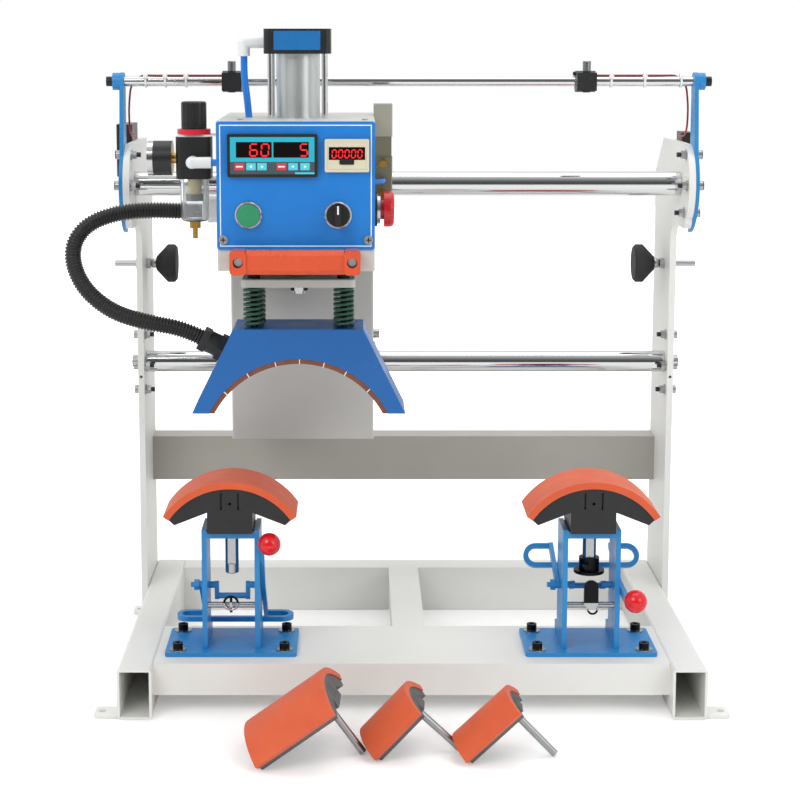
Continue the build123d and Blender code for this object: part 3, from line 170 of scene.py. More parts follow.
white_coat = powder_coat("white_powder_coat", "E0E0DC", "EEEEEA", 0.40)
grey_coat = powder_coat("grey_powder_coat", "BCBDB8", "CBCCC8", 0.42)
# The mid rail wears the frame's white paint darkened to grey: painted shade for the shadow that falls on it.
rail_painted_shade_coat = powder_coat("rail_painted_shade_powder_coat", "A6A39A", "B2AFA6", 0.42)
press_blue = powder_coat("press_blue_powder_coat", "0A5AA2", "0E66B0", 0.32)
station_blue = powder_coat("station_blue_powder_coat", "1878BC", "2A90CE", 0.34)
print("powder coats made")


# %% [markdown]
# ## Moulded plastics and rubber
# Moulded parts copy the spark-eroded grain of their tool, so their bump is finer than paint's.
# Rubber scatters light almost evenly, so its roughness is high and its grain dull. One function serves
# both, because they differ only in the size and depth of the grain and in gloss.

# %% Moulded plastics and rubber
def moulded(name, hex_low, hex_high, rough, size=0.0009, depth=0.00004):
    """Moulded plastic or rubber with the tool's fine grain."""
    material, tree, shader, place = start(name, hex_high, rough)
    mottle(tree, shader, place, hex_low, hex_high, 0.03)
    grain(tree, shader, place, size, depth, rough - 0.05, rough + 0.07)
    return material


black_abs = moulded("black_abs_housing", "141516", "1D1E20", 0.38)
black_nylon = moulded("black_nylon_fitting", "161718", "232426", 0.48)
nitrile = moulded("nitrile_bumper", "1C1D1E", "2A2B2C", 0.72, 0.0016, 0.0001)
handle_orange = moulded("orange_handle_moulding", "D04A24", "DE5830", 0.27, 0.0014, 0.00005)
button_green = moulded("green_button_cap", "22875C", "31956A", 0.30)
signal_red = moulded("red_signal_plastic", "C01622", "D41C2A", 0.26)
ball_red = moulded("red_phenolic_ball", "D21420", "E42028", 0.14, 0.004, 0.00001)
fitting_white = moulded("white_acetal_fitting", "E4E8EA", "F0F2F3", 0.24)
tube_blue = moulded("blue_air_hose", "1272D2", "1C84E2", 0.22, 0.003, 0.00002)
cream_abs = moulded("cream_counter_bezel", "CFC9AE", "DAD5BC", 0.42)
wire_red = moulded("red_lead", "8E1A1E", "A82226", 0.42)
print("plastics made")

# %% [markdown]
# ## Silicone sheet
# The curved platens are faced with orange silicone sponge. It is matt and slightly powdery,
# with a very soft skin of open cells. With roughness alone it would look like paint, so a little sheen
# gives its edge the pale, dusty look.

# %% Silicone sheet
silicone, tree, shader, place = start("orange_silicone_sponge", "D8562C", 0.62)
mottle(tree, shader, place, "CC4B22", "E2622F", 0.045)
grain(tree, shader, place, 0.0011, 0.00018, 0.55, 0.72)
shader.inputs["Sheen Weight"].default_value = 0.10
shader.inputs["Sheen Roughness"].default_value = 0.6
print("silicone made")


# %% [markdown]
# ## Metals
# Hard chromed rods are nearly mirrors, with very fine grinding lines round them.
# Zinc plating and turned steel are duller. The lines could be cut as grooves, but they are finer than a
# pixel, so a noise that is stretched along the tool's path varies the gloss instead.

# %% Metals
def metal(name, hex_code, rough, stretch=(1.0, 1.0, 1.0), size=0.0012, spread=0.06):
    """Bare or plated metal. Stretch makes the grain long along the small numbers' axes."""
    material, tree, shader, place = start(name, hex_code, rough, 1.0)
    turned = add(tree, "ShaderNodeMapping", {"Vector": place, "Scale": stretch})
    lines = add(tree, "ShaderNodeTexNoise", {"Vector": turned.outputs["Vector"], "Scale": 1 / size,
                                             "Detail": 2.0})
    gloss = add(tree, "ShaderNodeMapRange", {"Value": lines.outputs["Fac"],
                                             "To Min": max(0.03, rough - spread), "To Max": rough + spread})
    tree.links.new(gloss.outputs["Result"], shader.inputs["Roughness"])
    return material


hard_chrome = metal("hard_chromed_rod", "D9DADB", 0.10, (1.0, 0.15, 0.15), 0.0018, 0.05)
piston_chrome = metal("chromed_piston_rod", "D4D5D6", 0.12, (0.15, 0.15, 1.0))
zinc = metal("zinc_plated_steel", "B9BABB", 0.33)
turned_steel = metal("turned_steel", "A9AAAC", 0.30, (0.2, 0.2, 1.0))
black_oxide = metal("black_oxide_steel", "2A2B2D", 0.40)
satin_anodised = metal("satin_anodised_barrel", "CDD2D1", 0.38, (1.0, 1.0, 0.12), 0.0016)
cast_alloy = metal("cast_platen_block", "8E8B86", 0.55, size=0.003)
print("metals made")


# %% [markdown]
# ## One node, several finishes
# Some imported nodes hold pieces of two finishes, such as a black screw with its bright washer.
# The faces could be given to material slots of their own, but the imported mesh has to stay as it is. So a
# mask made from the Object coordinates picks the band where the second finish lies.

# %% Finishes over a band
def axis_value(material, letter, centre=0.0, both_sides=False):
    """One coordinate of the surface point, from a centre, as a socket."""
    tree = material.node_tree
    place = add(tree, "ShaderNodeTexCoord").outputs["Object"]
    split = add(tree, "ShaderNodeSeparateXYZ", {0: place}).outputs[letter]
    moved = add(tree, "ShaderNodeMath", {0: split, 1: centre}, operation="SUBTRACT").outputs[0]
    if both_sides:
        return add(tree, "ShaderNodeMath", {0: moved}, operation="ABSOLUTE").outputs[0]
    return moved


def within(material, socket, low, high):
    """1 where a value lies between two limits, else 0."""
    inputs = {0: socket, 1: (low + high) / 2, 2: (high - low) / 2}
    return add(material.node_tree, "ShaderNodeMath", inputs, operation="COMPARE").outputs[0]


def paint_over(material, mask, hex_code, roughness, metallic):
    """Give the masked region its own colour, roughness and metallic value."""
    tree = material.node_tree
    shader = tree.nodes["Principled BSDF"]
    wanted = {"Base Color": linear(hex_code), "Roughness": roughness, "Metallic": metallic}
    for name, value in wanted.items():
        target = shader.inputs[name]
        before = target.links[0].from_socket if target.is_linked else target.default_value
        if name == "Base Color":
            if not target.is_linked:
                before = tuple(before)
            mix = add(tree, "ShaderNodeMix", {0: mask, 6: before, 7: value}, data_type="RGBA")
            tree.links.new(mix.outputs[2], target)
        else:
            mix = add(tree, "ShaderNodeMix", {0: mask, 2: before, 3: value}, data_type="FLOAT")
            tree.links.new(mix.outputs[0], target)
    return material


BRASS = ("C39A4E", 0.28, 1.0)
BRIGHT_STEEL = ("B7B8BA", 0.26, 1.0)
BLACK_FINISH = ("17181A", 0.42, 0.0)
print("band helpers ready")

# %% [markdown]
# ## Finishes that share a node
# The regulator is black nylon with a red ring nut, a white bracket and a brass gauge stem.
# The fittings are white, but the valve's silencers among them are sintered brass.
# The platens are black castings on bright ground stems. Each band is a pair of limits in metres, taken
# from the part's own sizes.

# %% Regulator, fittings, platens
RING_NUT, BRACKET = (0.6706, 0.6768), (0.6684, 0.6706)
GAUGE_STEM, GAUGE_RIM = (-0.27605, -0.2712), (-0.3050, -0.2975)
SILENCERS = (-0.043, 0.0)
PLATEN_STEMS = (0.14, 0.2068)
TIE_RODS = (0.0262, 0.0345)
DRAIN, BAFFLE = (0.53, 0.5700), (0.5700, 0.6020)
regulator = moulded("regulator_nylon", "131415", "1E1F21", 0.36)
height = axis_value(regulator, "Z")
paint_over(regulator, within(regulator, height, *RING_NUT), "D81F36", 0.30, 0.0)
paint_over(regulator, within(regulator, height, *BRACKET), "E2E3E2", 0.40, 0.0)
sideways = axis_value(regulator, "X")
paint_over(regulator, within(regulator, sideways, *GAUGE_STEM), *BRASS)
paint_over(regulator, within(regulator, sideways, *GAUGE_RIM), "C9CACC", 0.16, 1.0)

air_white = moulded("push_in_fitting", "E4E8EA", "F0F2F3", 0.24)
paint_over(air_white, within(air_white, axis_value(air_white, "X"), *SILENCERS), *BRASS)

core_black = moulded("platen_casting", "141516", "232425", 0.46, 0.0025, 0.0002)
paint_over(core_black, within(core_black, axis_value(core_black, "Z"), *PLATEN_STEMS), *BRIGHT_STEEL)

spare_casting = moulded("spare_platen_casting", "4A4B4B", "686967", 0.55, 0.0025, 0.0002)

barrel_finish = satin_anodised.copy()
barrel_finish.name = "barrel_and_tie_rods"
off_axis = axis_value(barrel_finish, "Y", PRESS_Y, both_sides=True)
paint_over(barrel_finish, within(barrel_finish, off_axis, *TIE_RODS), "D8D9DA", 0.10, 1.0)

filter_core = moulded("filter_element", "C9B07A", "D9C58E", 0.60)
paint_over(filter_core, within(filter_core, axis_value(filter_core, "Z"), *DRAIN), *BRASS)
paint_over(filter_core, within(filter_core, axis_value(filter_core, "Z"), *BAFFLE), "5A5C5C", 0.5, 0.0)
print("regulator, fittings and platens finished")

# %% [markdown]
# ## Screws, rings and clamps
# Cap screws are black and their washers bright, so a thin band in height marks the washers.
# The frame's through bolts have bright nuts and black ends, so for them the band runs across the machine.
# Bands suit these pieces well, because each finish begins at a flat face.

# %% Screws
BASE_WASHERS, CROSS_RODS = (0.0648, 0.0666), (0.1120, 0.1212)
BOLT_TAILS, BOLT_FACES = (0.3200, 0.3334), (0.3585, 0.3800)
STOP_BASE = (-0.0445, -0.0404)
MODULE_TOPS = (0.7402, 0.7600)
VALVE_COIL = (0.6652, 0.7040)
station_steel = metal("station_screws", "232426", 0.38)
level = axis_value(station_steel, "Z")
paint_over(station_steel, within(station_steel, level, *BASE_WASHERS), *BRIGHT_STEEL)
paint_over(station_steel, within(station_steel, level, *CROSS_RODS), *BRIGHT_STEEL)

bolt_steel = metal("frame_bolt_steel", "AEB0B2", 0.30)
outward = axis_value(bolt_steel, "X", 0.0, both_sides=True)
paint_over(bolt_steel, within(bolt_steel, outward, *BOLT_TAILS), *BLACK_FINISH)
paint_over(bolt_steel, within(bolt_steel, outward, *BOLT_FACES), "2A2C2F", 0.36, 0.6)

ring_metal = metal("control_ring_metal", "C4C6C8", 0.22)
base_band = within(ring_metal, axis_value(ring_metal, "X"), *STOP_BASE)
paint_over(ring_metal, base_band, *BLACK_FINISH)

clamp_black = moulded("laser_clamp_body", "17181A", "242528", 0.40)
paint_over(clamp_black, within(clamp_black, axis_value(clamp_black, "Z"), *MODULE_TOPS), "8A8C8E", 0.3, 1.0)

valve_alloy = metal("valve_alloy", "8F8E7C", 0.46)
coil_band = within(valve_alloy, axis_value(valve_alloy, "Z"), *VALVE_COIL)
paint_over(valve_alloy, coil_band, "A3A294", 0.50, 0.2)
print("screws, rings and clamps finished")

# %% [markdown]
# ## Bowl and heater
# The regulator's bowl is clear polycarbonate, so it transmits light and bends it with an IOR of 1.58.
# It could be made half see-through instead, but then its thick bottom would bend nothing.
# The heater that lines the arch is brown resin-bonded sheet, warmer and rougher than the paint.

# %% Bowl and heater
clear_bowl, tree, shader, place = start("clear_polycarbonate", "F4F7F8", 0.05)
shader.inputs["Transmission Weight"].default_value = 0.95
shader.inputs["IOR"].default_value = 1.58
grain(tree, shader, place, 0.02, 0.00002, 0.03, 0.07)

smoked_window, tree, shader, place = start("smoked_display_window", "0E0809", 0.12)
grain(tree, shader, place, 0.01, 0.00001, 0.08, 0.16)

heater_sheet, tree, shader, place = start("resin_bonded_heater", "7A4430", 0.58)
mottle(tree, shader, place, "653524", "8C533B", 0.012)
grain(tree, shader, place, 0.0012, 0.00012, 0.50, 0.68)

panel_print, tree, shader, place = start("printed_panel_film", "0F79CE", 0.34)
mottle(tree, shader, place, "0C74CA", "147FD4", 0.05)
grain(tree, shader, place, 0.0006, 0.00003, 0.28, 0.42)

spring_enamel = moulded("green_spring_enamel", "0F3A2A", "1B5540", 0.34)
white_line = moulded("white_screen_print", "E8F0F6", "F4F8FA", 0.40)
cyan_film = moulded("cyan_overlay_film", "1AA8C0", "24B6CC", 0.34)
slate_film = moulded("slate_overlay_film", "3C4A52", "48565E", 0.36)
key_red = moulded("red_key_film", "C63442", "D6404C", 0.34)
key_cyan = moulded("cyan_key_film", "45C2DA", "55D0E6", 0.34)
plate_blue = moulded("blank_blue_plate", "1468A8", "1B70B2", 0.30)
print("bowl, heater, panel and films made")

# %% [markdown]
# ## Lit segments
# The displays' segments give their own light. A small lamp behind each would take long to render, so the
# material itself glows, and only weakly, so that the red doesn't wash out to white.

# %% Lit digits
digit_light, tree, shader, place = start("lit_red_segments", "C81018", 0.4)
shader.inputs["Emission Color"].default_value = linear("F0141C")
shader.inputs["Emission Strength"].default_value = 1.1
mottle(tree, shader, place, "B80E16", "D81820", 0.004)
print("digits lit")

# %% [markdown]
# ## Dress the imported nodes
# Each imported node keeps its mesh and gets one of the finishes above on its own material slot.
# This could be one line for each node, but a table of finishes and names is easier to read and to check.

# %% Finish for each node
finishes = {
    white_coat: ["side_tubes", "front_beam", "rear_beam", "centre_beam", "floor_tabs", "uprights"],
    # The mid rail takes the white coat darkened as painted shade.
    rail_painted_shade_coat: ["mid_rail"],
    grey_coat: ["carriage_column", "head_shell", "ram_plate"],
    press_blue: ["platen_cover"],
    station_blue: ["station_frames", "left_lever", "right_lever", "laser_arms"],
    hard_chrome: ["guide_rods", "laser_rod"],
    piston_chrome: ["piston_rod"],
    zinc: ["bumper_studs", "rod_bushings", "carriage_screws"],
    black_oxide: ["guide_bolts"],
    bolt_steel: ["frame_bolts"],
    station_steel: ["station_hardware"],
    nitrile: ["bumper_pads"],
    black_abs: ["laser_boxes", "controller", "counter_key", "regulator_knob", "selector_knob",
                "cylinder_caps"],
    black_nylon: ["hose_gland"],
    wire_red: ["laser_wires"],
    clamp_black: ["left_laser_clamp", "right_laser_clamp"],
    silicone: ["left_pad", "right_pad", "spare_pads"],
    core_black: ["left_platen", "right_platen"],
    spare_casting: ["spare_platens"],
    panel_print: ["front_panel"],
    cream_abs: ["counter"],
    ring_metal: ["control_rings"],
    button_green: ["green_button"],
    signal_red: ["estop_button"],
    handle_orange: ["handle"],
    barrel_finish: ["cylinder_barrel"],
    regulator: ["regulator_body"],
    clear_bowl: ["regulator_bowl"],
    filter_core: ["regulator_core"],
    air_white: ["air_fittings"],
    tube_blue: ["air_tubes"],
    valve_alloy: ["air_valve"],
    cast_alloy: ["heat_block"],
    heater_sheet: ["heater_strip"],
    ball_red: ["left_lever_ball", "right_lever_ball"],
    nitrile.copy(): ["hose"],
    spring_enamel.copy(): ["springs"],
}
dressed = 0
for material, names in finishes.items():
    for name in names:
        for slot in nodes[name].material_slots:
            slot.material = material
        dressed += 1
print("dressed", dressed, "of", len(nodes))


# %% [markdown]
# ## Helpers for new pieces
# Small surface pieces start from bmesh shapes: a cube stretched between two corners, or a cone with equal
# ends for a disc. They are placed in the press's own coordinates and ride on the body that carries them.
# Objects could be scaled and moved instead, but shapes at their true size need no transforms later.

# %% Piece helpers
def block(shape, low, high, edge=0.0):
    """A box between two corners, with its edges rounded where asked."""
    low, high = Vector(low), Vector(high)
    size = high - low
    matrix = Matrix.Translation((low + high) / 2) @ Matrix.Diagonal((*size, 1.0))
    made = bmesh.ops.create_cube(shape, size=1.0, matrix=matrix)
    if edge:
        edges = list({e for v in made["verts"] for e in v.link_edges})
        bmesh.ops.bevel(shape, geom=edges, offset=edge, segments=2, profile=0.5, affect="EDGES", material=-1)


def disc(shape, centre, along, radius, thickness, sides=40):
    """A round plate about a centre, facing along a direction."""
    turn = Vector((0, 0, 1)).rotation_difference(Vector(along)).to_matrix().to_4x4()
    matrix = Matrix.Translation(centre) @ turn
    bmesh.ops.create_cone(shape, cap_ends=True, segments=sides, radius1=radius, radius2=radius,
                          depth=thickness, matrix=matrix)


def bar(shape, stand, size):
    """A bar of three sizes, stood up by a matrix."""
    bmesh.ops.create_cube(shape, size=1.0, matrix=stand @ Matrix.Diagonal((*size, 1.0)))


def make_object(name, shape, material):
    """Turn a bmesh into an object at the origin."""
    mesh = bpy.data.meshes.new(name)
    shape.to_mesh(mesh)
    shape.free()
    mesh.materials.append(material)
    piece = bpy.data.objects.new(name, mesh)
    bpy.context.scene.collection.objects.link(piece)
    return piece


def fit(name, shape, material, body):
    """Make the object and fix it to a body."""
    piece = make_object(name, shape, material)
    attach(piece, body)
    print(name, len(piece.data.polygons), "faces on", body)
    return piece


# %% [markdown]
# ## The corrugated hose
# The cable to the heater runs in a corrugated nylon sleeve. It leaves the gland on the heat platen's left
# slope, loops out and up, and enters the head's side. Its line is one NURBS curve guided by the route's
# points. A texture could draw the ribs, but they show at the hose's outline, so they are modelled.

# %% Hose line
HOSE_ROUTE = [
    (-0.24547, -0.122, 0.43383), (-0.26699, -0.122, 0.44445), (-0.307, -0.121, 0.451),
    (-0.348, -0.112, 0.461), (-0.381, -0.102, 0.484), (-0.398, -0.092, 0.513), (-0.399, -0.082, 0.541),
    (-0.381, -0.073, 0.563), (-0.347, -0.065, 0.5745), (-0.309, -0.059, 0.577), (-0.267, -0.057, 0.575),
    (-0.241, -0.057, 0.575)]
HOSE_RADIUS = 0.010
HOSE_ROOT_RADIUS = 0.0084
RIB_PITCH = 0.0036
CREST_ROUNDING = 0.0003
RING_SIDES = 24
line = bpy.data.curves.new("hose_line", "CURVE")
line.dimensions = "3D"
line.resolution_u = 16
spline = line.splines.new("NURBS")
spline.points.add(len(HOSE_ROUTE) - 1)
for point, spot in zip(spline.points, HOSE_ROUTE):
    point.co = (*spot, 1.0)
spline.order_u = 3
spline.use_endpoint_u = True
holder = bpy.data.objects.new("hose_line", line)
bpy.context.scene.collection.objects.link(holder)
bpy.context.view_layer.update()
graph = bpy.context.evaluated_depsgraph_get()
sampled = bpy.data.meshes.new_from_object(holder.evaluated_get(graph))
hose_path = [v.co.copy() for v in sampled.vertices]
bpy.data.objects.remove(holder)
reach = [0.0]
for a, b in zip(hose_path, hose_path[1:]):
    reach.append(reach[-1] + (b - a).length)
HOSE_LENGTH = reach[-1]
print("hose length", round(HOSE_LENGTH, 4), "points", len(hose_path))


# %% [markdown]
# ## Ribs along the line
# A rib is five rings: root, shoulder, crest, shoulder and root. Each ring stands square to the line, and
# neighbouring rings are bridged. An array bent along the curve would stretch the ribs on the outside of the
# bends, and rings that are placed one by one keep their pitch.

# %% Hose ribs
def point_at(distance):
    """The point and direction of the hose's line at a distance from its start."""
    i = 0
    while i < len(reach) - 2 and reach[i + 1] < distance:
        i += 1
    share = (distance - reach[i]) / (reach[i + 1] - reach[i])
    spot = hose_path[i].lerp(hose_path[i + 1], min(1.0, share))
    before = hose_path[max(0, i - 1)]
    after = hose_path[min(len(hose_path) - 1, i + 2)]
    return spot, (after - before).normalized()


shape = bmesh.new()
ribs = int(HOSE_LENGTH / RIB_PITCH)
step = HOSE_LENGTH / ribs
SHOULDER_RADIUS = HOSE_RADIUS - CREST_ROUNDING
RIB_PROFILE = [(0.0, HOSE_ROOT_RADIUS), (0.18, SHOULDER_RADIUS), (0.36, HOSE_RADIUS),
               (0.54, SHOULDER_RADIUS), (0.72, HOSE_ROOT_RADIUS)]
rings = []
for rib in range(ribs):
    for share, radius in RIB_PROFILE:
        spot, way = point_at(min(HOSE_LENGTH, (rib + share) * step))
        turn = Vector((0, 0, 1)).rotation_difference(way).to_matrix().to_4x4()
        made = bmesh.ops.create_circle(shape, segments=RING_SIDES, radius=radius,
                                       matrix=Matrix.Translation(spot) @ turn)
        rings.append(list({e for v in made["verts"] for e in v.link_edges}))
for ring, following in zip(rings, rings[1:]):
    bmesh.ops.bridge_loops(shape, edges=ring + following)
bmesh.ops.edgeloop_fill(shape, edges=rings[0])
bmesh.ops.edgeloop_fill(shape, edges=rings[-1])
bmesh.ops.recalc_face_normals(shape, faces=shape.faces)
for face in shape.faces:
    face.smooth = True
hose_nylon = moulded("corrugated_nylon", "101112", "1E1F20", 0.34)
hose = make_object("corrugated_hose", shape, hose_nylon)
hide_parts("hose")
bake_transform(hose)
print("hose ribs", ribs)

# %% [markdown]
# ## The four die springs
# Strong springs between the ram plate and the heat platen let the platen level itself on a cap.
# They are wound from flat wire. A small rounded rectangle is spun about the spring's axis while it climbs,
# which is how such a spring is wound. A modifier could do the same, but the operator leaves a plain mesh
# whose ends are easy to close.

# %% Springs
SPRING_FOOT = 0.4496
SPRING_TOP = 0.4972
SPRING_TURNS = 8
WIRE_WIDE = 0.0042
WIRE_HIGH = 0.0031
SPRING_OUTER = 0.0120
SPRING_X = 0.052
SPRING_Y = 0.022
STEPS_PER_TURN = 30
climb = (SPRING_TOP - SPRING_FOOT - WIRE_HIGH) / SPRING_TURNS
steps = SPRING_TURNS * STEPS_PER_TURN
shape = bmesh.new()
for dx in (-SPRING_X, SPRING_X):
    for dy in (-SPRING_Y, SPRING_Y):
        axis_spot = Vector((CARRIAGE_X + dx, PRESS_Y + dy, SPRING_FOOT + WIRE_HIGH / 2))
        centre = axis_spot + Vector((SPRING_OUTER - WIRE_WIDE / 2, 0, 0))
        stand = Matrix.Translation(centre) @ Matrix.Rotation(math.radians(90), 4, "X")
        stretch = Matrix.Diagonal((WIRE_WIDE, WIRE_HIGH, 1.0, 1.0))
        made = bmesh.ops.create_grid(shape, x_segments=1, y_segments=1, size=0.5, matrix=stand @ stretch)
        bmesh.ops.bevel(shape, geom=made["verts"], offset=0.0006, segments=2, profile=0.5,
                        affect="VERTICES", material=-1)
        face = [f for f in shape.faces if f.normal.length and all(
            abs(v.co.y - centre.y) < 1e-6 and (v.co - centre).length < 0.004 for v in f.verts)][0]
        outline = list(face.edges) + list(face.verts)
        bmesh.ops.delete(shape, geom=[face], context="FACES_ONLY")
        bmesh.ops.spin(shape, geom=outline, cent=axis_spot, axis=(0, 0, 1),
                       dvec=(0, 0, climb * SPRING_TURNS / steps), angle=2 * math.pi * SPRING_TURNS,
                       steps=steps, use_duplicate=False)
bmesh.ops.holes_fill(shape, edges=[e for e in shape.edges if e.is_boundary], sides=0)
bmesh.ops.recalc_face_normals(shape, faces=shape.faces)
springs = make_object("die_springs", shape, spring_enamel)
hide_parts("springs")
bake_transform(springs)
print("springs", len(springs.data.polygons), "faces, least gap in mm", round(1000 * (climb - WIRE_HIGH), 2))

# %% [markdown]
# ## The panel's white line
# A thin printed line runs round the blue panel, a few millimetres inside its edge.
# It could be a mask in the panel's finish, but four flat bars give it clean corners. Their backs sit just
# under the panel's face.

# %% Panel line
PANEL_FRONT = -0.224
PANEL_HALF = 0.087
PANEL_LOW, PANEL_HIGH = 0.549, 0.690
LINE_INSET = 0.0036
LINE_WIDTH = 0.0011
shape = bmesh.new()
line_left, line_right = CARRIAGE_X - PANEL_HALF + LINE_INSET, CARRIAGE_X + PANEL_HALF - LINE_INSET
line_low, line_high = PANEL_LOW + LINE_INSET, PANEL_HIGH - LINE_INSET
line_front, line_back = PANEL_FRONT - 0.00015, PANEL_FRONT + 0.0001
for x in (line_left, line_right - LINE_WIDTH):
    block(shape, (x, line_front, line_low), (x + LINE_WIDTH, line_back, line_high))
bar_left, bar_right = line_left + LINE_WIDTH, line_right - LINE_WIDTH
for z in (line_low, line_high - LINE_WIDTH):
    block(shape, (bar_left, line_front, z), (bar_right, line_back, z + LINE_WIDTH))
fit("panel_line", shape, white_line, "carriage")

# %% [markdown]
# ## Controller face
# The temperature and time controller has a cyan film with a slate band of soft keys under smoked windows.
# The keys are part of the film, so they have no travel. The face could be a picture, but thin plates are
# laid over each other instead, as a real membrane is, and their edges catch the light.

# %% Controller film, band and windows
FACE_LEFT = CARRIAGE_X - 0.0745
FACE_TOP = 0.6765
FILM_BACK = -0.2290
FILM_FRONT = -0.2299
KEY_TOP, KEY_LOW = 31.4, 39.4


def on_face(shape, left, top, right, bottom, front, edge=0.0, back=FILM_BACK, corner=(0.0, 0.0)):
    """A thin plate on an instrument's face, placed in millimetres from the face's upper left corner."""
    x = FACE_LEFT + corner[0]
    z = FACE_TOP + corner[1]
    block(shape, (x + left / 1000, front, z - bottom / 1000), (x + right / 1000, back, z - top / 1000), edge)


shape = bmesh.new()
on_face(shape, 3.2, 3.2, 95.3, 30.2, FILM_FRONT)
fit("controller_film", shape, cyan_film, "carriage")
shape = bmesh.new()
on_face(shape, 3.2, 30.2, 95.3, 43.8, FILM_FRONT)
fit("controller_key_band", shape, slate_film, "carriage")
shape = bmesh.new()
on_face(shape, 9.7, 8.6, 48.7, 25.6, FILM_FRONT - 0.0004, 0.0003)
on_face(shape, 50.5, 8.6, 89.0, 25.6, FILM_FRONT - 0.0004, 0.0003)
fit("controller_windows", shape, smoked_window, "carriage")
shape = bmesh.new()
for left in (7.9, 53.9):
    on_face(shape, left, KEY_TOP, left + 10.8, KEY_LOW, FILM_FRONT - 0.0005, 0.0004)
fit("controller_red_keys", shape, key_red, "carriage")
shape = bmesh.new()
for left in (20.8, 32.8, 66.8, 79.7):
    on_face(shape, left, KEY_TOP, left + 10.4, KEY_LOW, FILM_FRONT - 0.0005, 0.0004)
on_face(shape, 74.0, 41.6, 95.2, 43.6, FILM_FRONT - 0.0003)
fit("controller_cyan_keys", shape, key_cyan, "carriage")

# %% [markdown]
# ## Marks on the keys
# Small triangles and bars are printed on the keys. A cone with three sides and equal ends is a flat
# triangle, so each mark is one call and needs no drawing point by point.

# %% Key marks
shape = bmesh.new()
for left, pointing in ((20.8, 1), (32.8, -1), (66.8, 1), (79.7, -1)):
    x = FACE_LEFT + (left + 5.2) / 1000
    z = FACE_TOP - 0.0354
    spin = Matrix.Translation((x, FILM_FRONT - 0.0007, z)) @ Matrix.Rotation(math.radians(90), 4, "X")
    spin = spin @ Matrix.Rotation(math.radians(90 * pointing), 4, "Z")
    bmesh.ops.create_cone(shape, cap_ends=True, segments=3, radius1=0.0021, radius2=0.0021, depth=0.0004,
                          matrix=spin)
for left in (9.6, 55.6):
    on_face(shape, left, 34.6, left + 7.4, 36.2, FILM_FRONT - 0.0009, back=FILM_FRONT)
fit("controller_key_marks", shape, white_line, "carriage")

# %% [markdown]
# ## Seven-segment digits
# Each digit is built from up to seven short bars, leaning a few degrees as on the real display. A text
# object would need a font and round its corners, so a table says which bars of a number are lit.

# %% Digits
LIT = {"0": "abcdef", "5": "afgcd", "6": "afgedc"}
BARS = {"a": (0.5, 1.0, True), "b": (1.0, 0.75, False), "c": (1.0, 0.25, False), "d": (0.5, 0.0, True),
        "e": (0.0, 0.25, False), "f": (0.0, 0.75, False), "g": (0.5, 0.5, True)}


def digit(shape, value, left, bottom, wide, tall, stroke, front):
    """Add one leaning digit whose lower left corner is given."""
    for letter in LIT[value]:
        across, up, flat = BARS[letter]
        x = left + across * wide + up * tall * 0.08
        z = bottom + up * tall
        half_x = wide / 2 - stroke * 0.55 if flat else stroke / 2
        half_z = stroke / 2 if flat else tall / 4 - stroke * 0.55
        block(shape, (x - half_x, front, z - half_z), (x + half_x, front + 0.0003, z + half_z), stroke * 0.2)


shape = bmesh.new()
DIGIT_FRONT = FILM_FRONT - 0.0007
for value, left in (("6", 24.6), ("0", 37.0), ("5", 79.4)):
    digit(shape, value, FACE_LEFT + left / 1000, FACE_TOP - 0.0236, 0.0078, 0.0128, 0.0015, DIGIT_FRONT)
fit("controller_digits", shape, digit_light, "carriage")

# %% [markdown]
# ## Counter face
# The stroke counter is a small cream unit with a lit window of five digits over its reset key.
# Its face could be four strips about the key. It is one plate instead, and four planes cut the key's
# opening out of it, so that the key can move in through it.

# %% Counter window and digits
COUNTER = (0.1065, -0.0055)
RESET_KEY = (CARRIAGE_X + 0.056, 0.6465)
CUT_HALF_X, CUT_HALF_Z = 0.0079, 0.0033
shape = bmesh.new()
on_face(shape, 3.2, 3.2, 45.3, 32.8, FILM_FRONT, corner=COUNTER)
counter_film = fit("counter_film", shape, cream_abs, "carriage")
cut = bmesh.new()
cut.from_mesh(counter_film.data)
key_x, key_z = RESET_KEY
planes = [((x, 0, 0), (1, 0, 0)) for x in (key_x - CUT_HALF_X, key_x + CUT_HALF_X)]
planes += [((0, 0, z), (0, 0, 1)) for z in (key_z - CUT_HALF_Z, key_z + CUT_HALF_Z)]
for spot, normal in planes:
    bmesh.ops.bisect_plane(cut, geom=cut.verts[:] + cut.edges[:] + cut.faces[:], plane_co=spot,
                           plane_no=normal)
hole = [f for f in cut.faces if abs(f.calc_center_median().x - key_x) < CUT_HALF_X - 0.0001
        and abs(f.calc_center_median().z - key_z) < CUT_HALF_Z - 0.0001]
bmesh.ops.delete(cut, geom=hole, context="FACES")
cut.to_mesh(counter_film.data)
cut.free()
shape = bmesh.new()
on_face(shape, 4.4, 8.6, 44.0, 22.6, FILM_FRONT - 0.0005, 0.0004, corner=COUNTER)
fit("counter_window", shape, smoked_window, "carriage")
shape = bmesh.new()
for i in range(5):
    left = CARRIAGE_X + 0.032 + 0.0078 + i * 0.0070
    digit(shape, "0", left, 0.671 - 0.0202, 0.0044, 0.0086, 0.0012, FILM_FRONT - 0.0009)
fit("counter_digits", shape, digit_light, "carriage")

# %% [markdown]
# ## Small marks on the controls
# The selector has a white line on its grip, and the panel's screws have crossed slots. Real cuts would be
# finer than a pixel, so thin plates stand just proud of the surface.

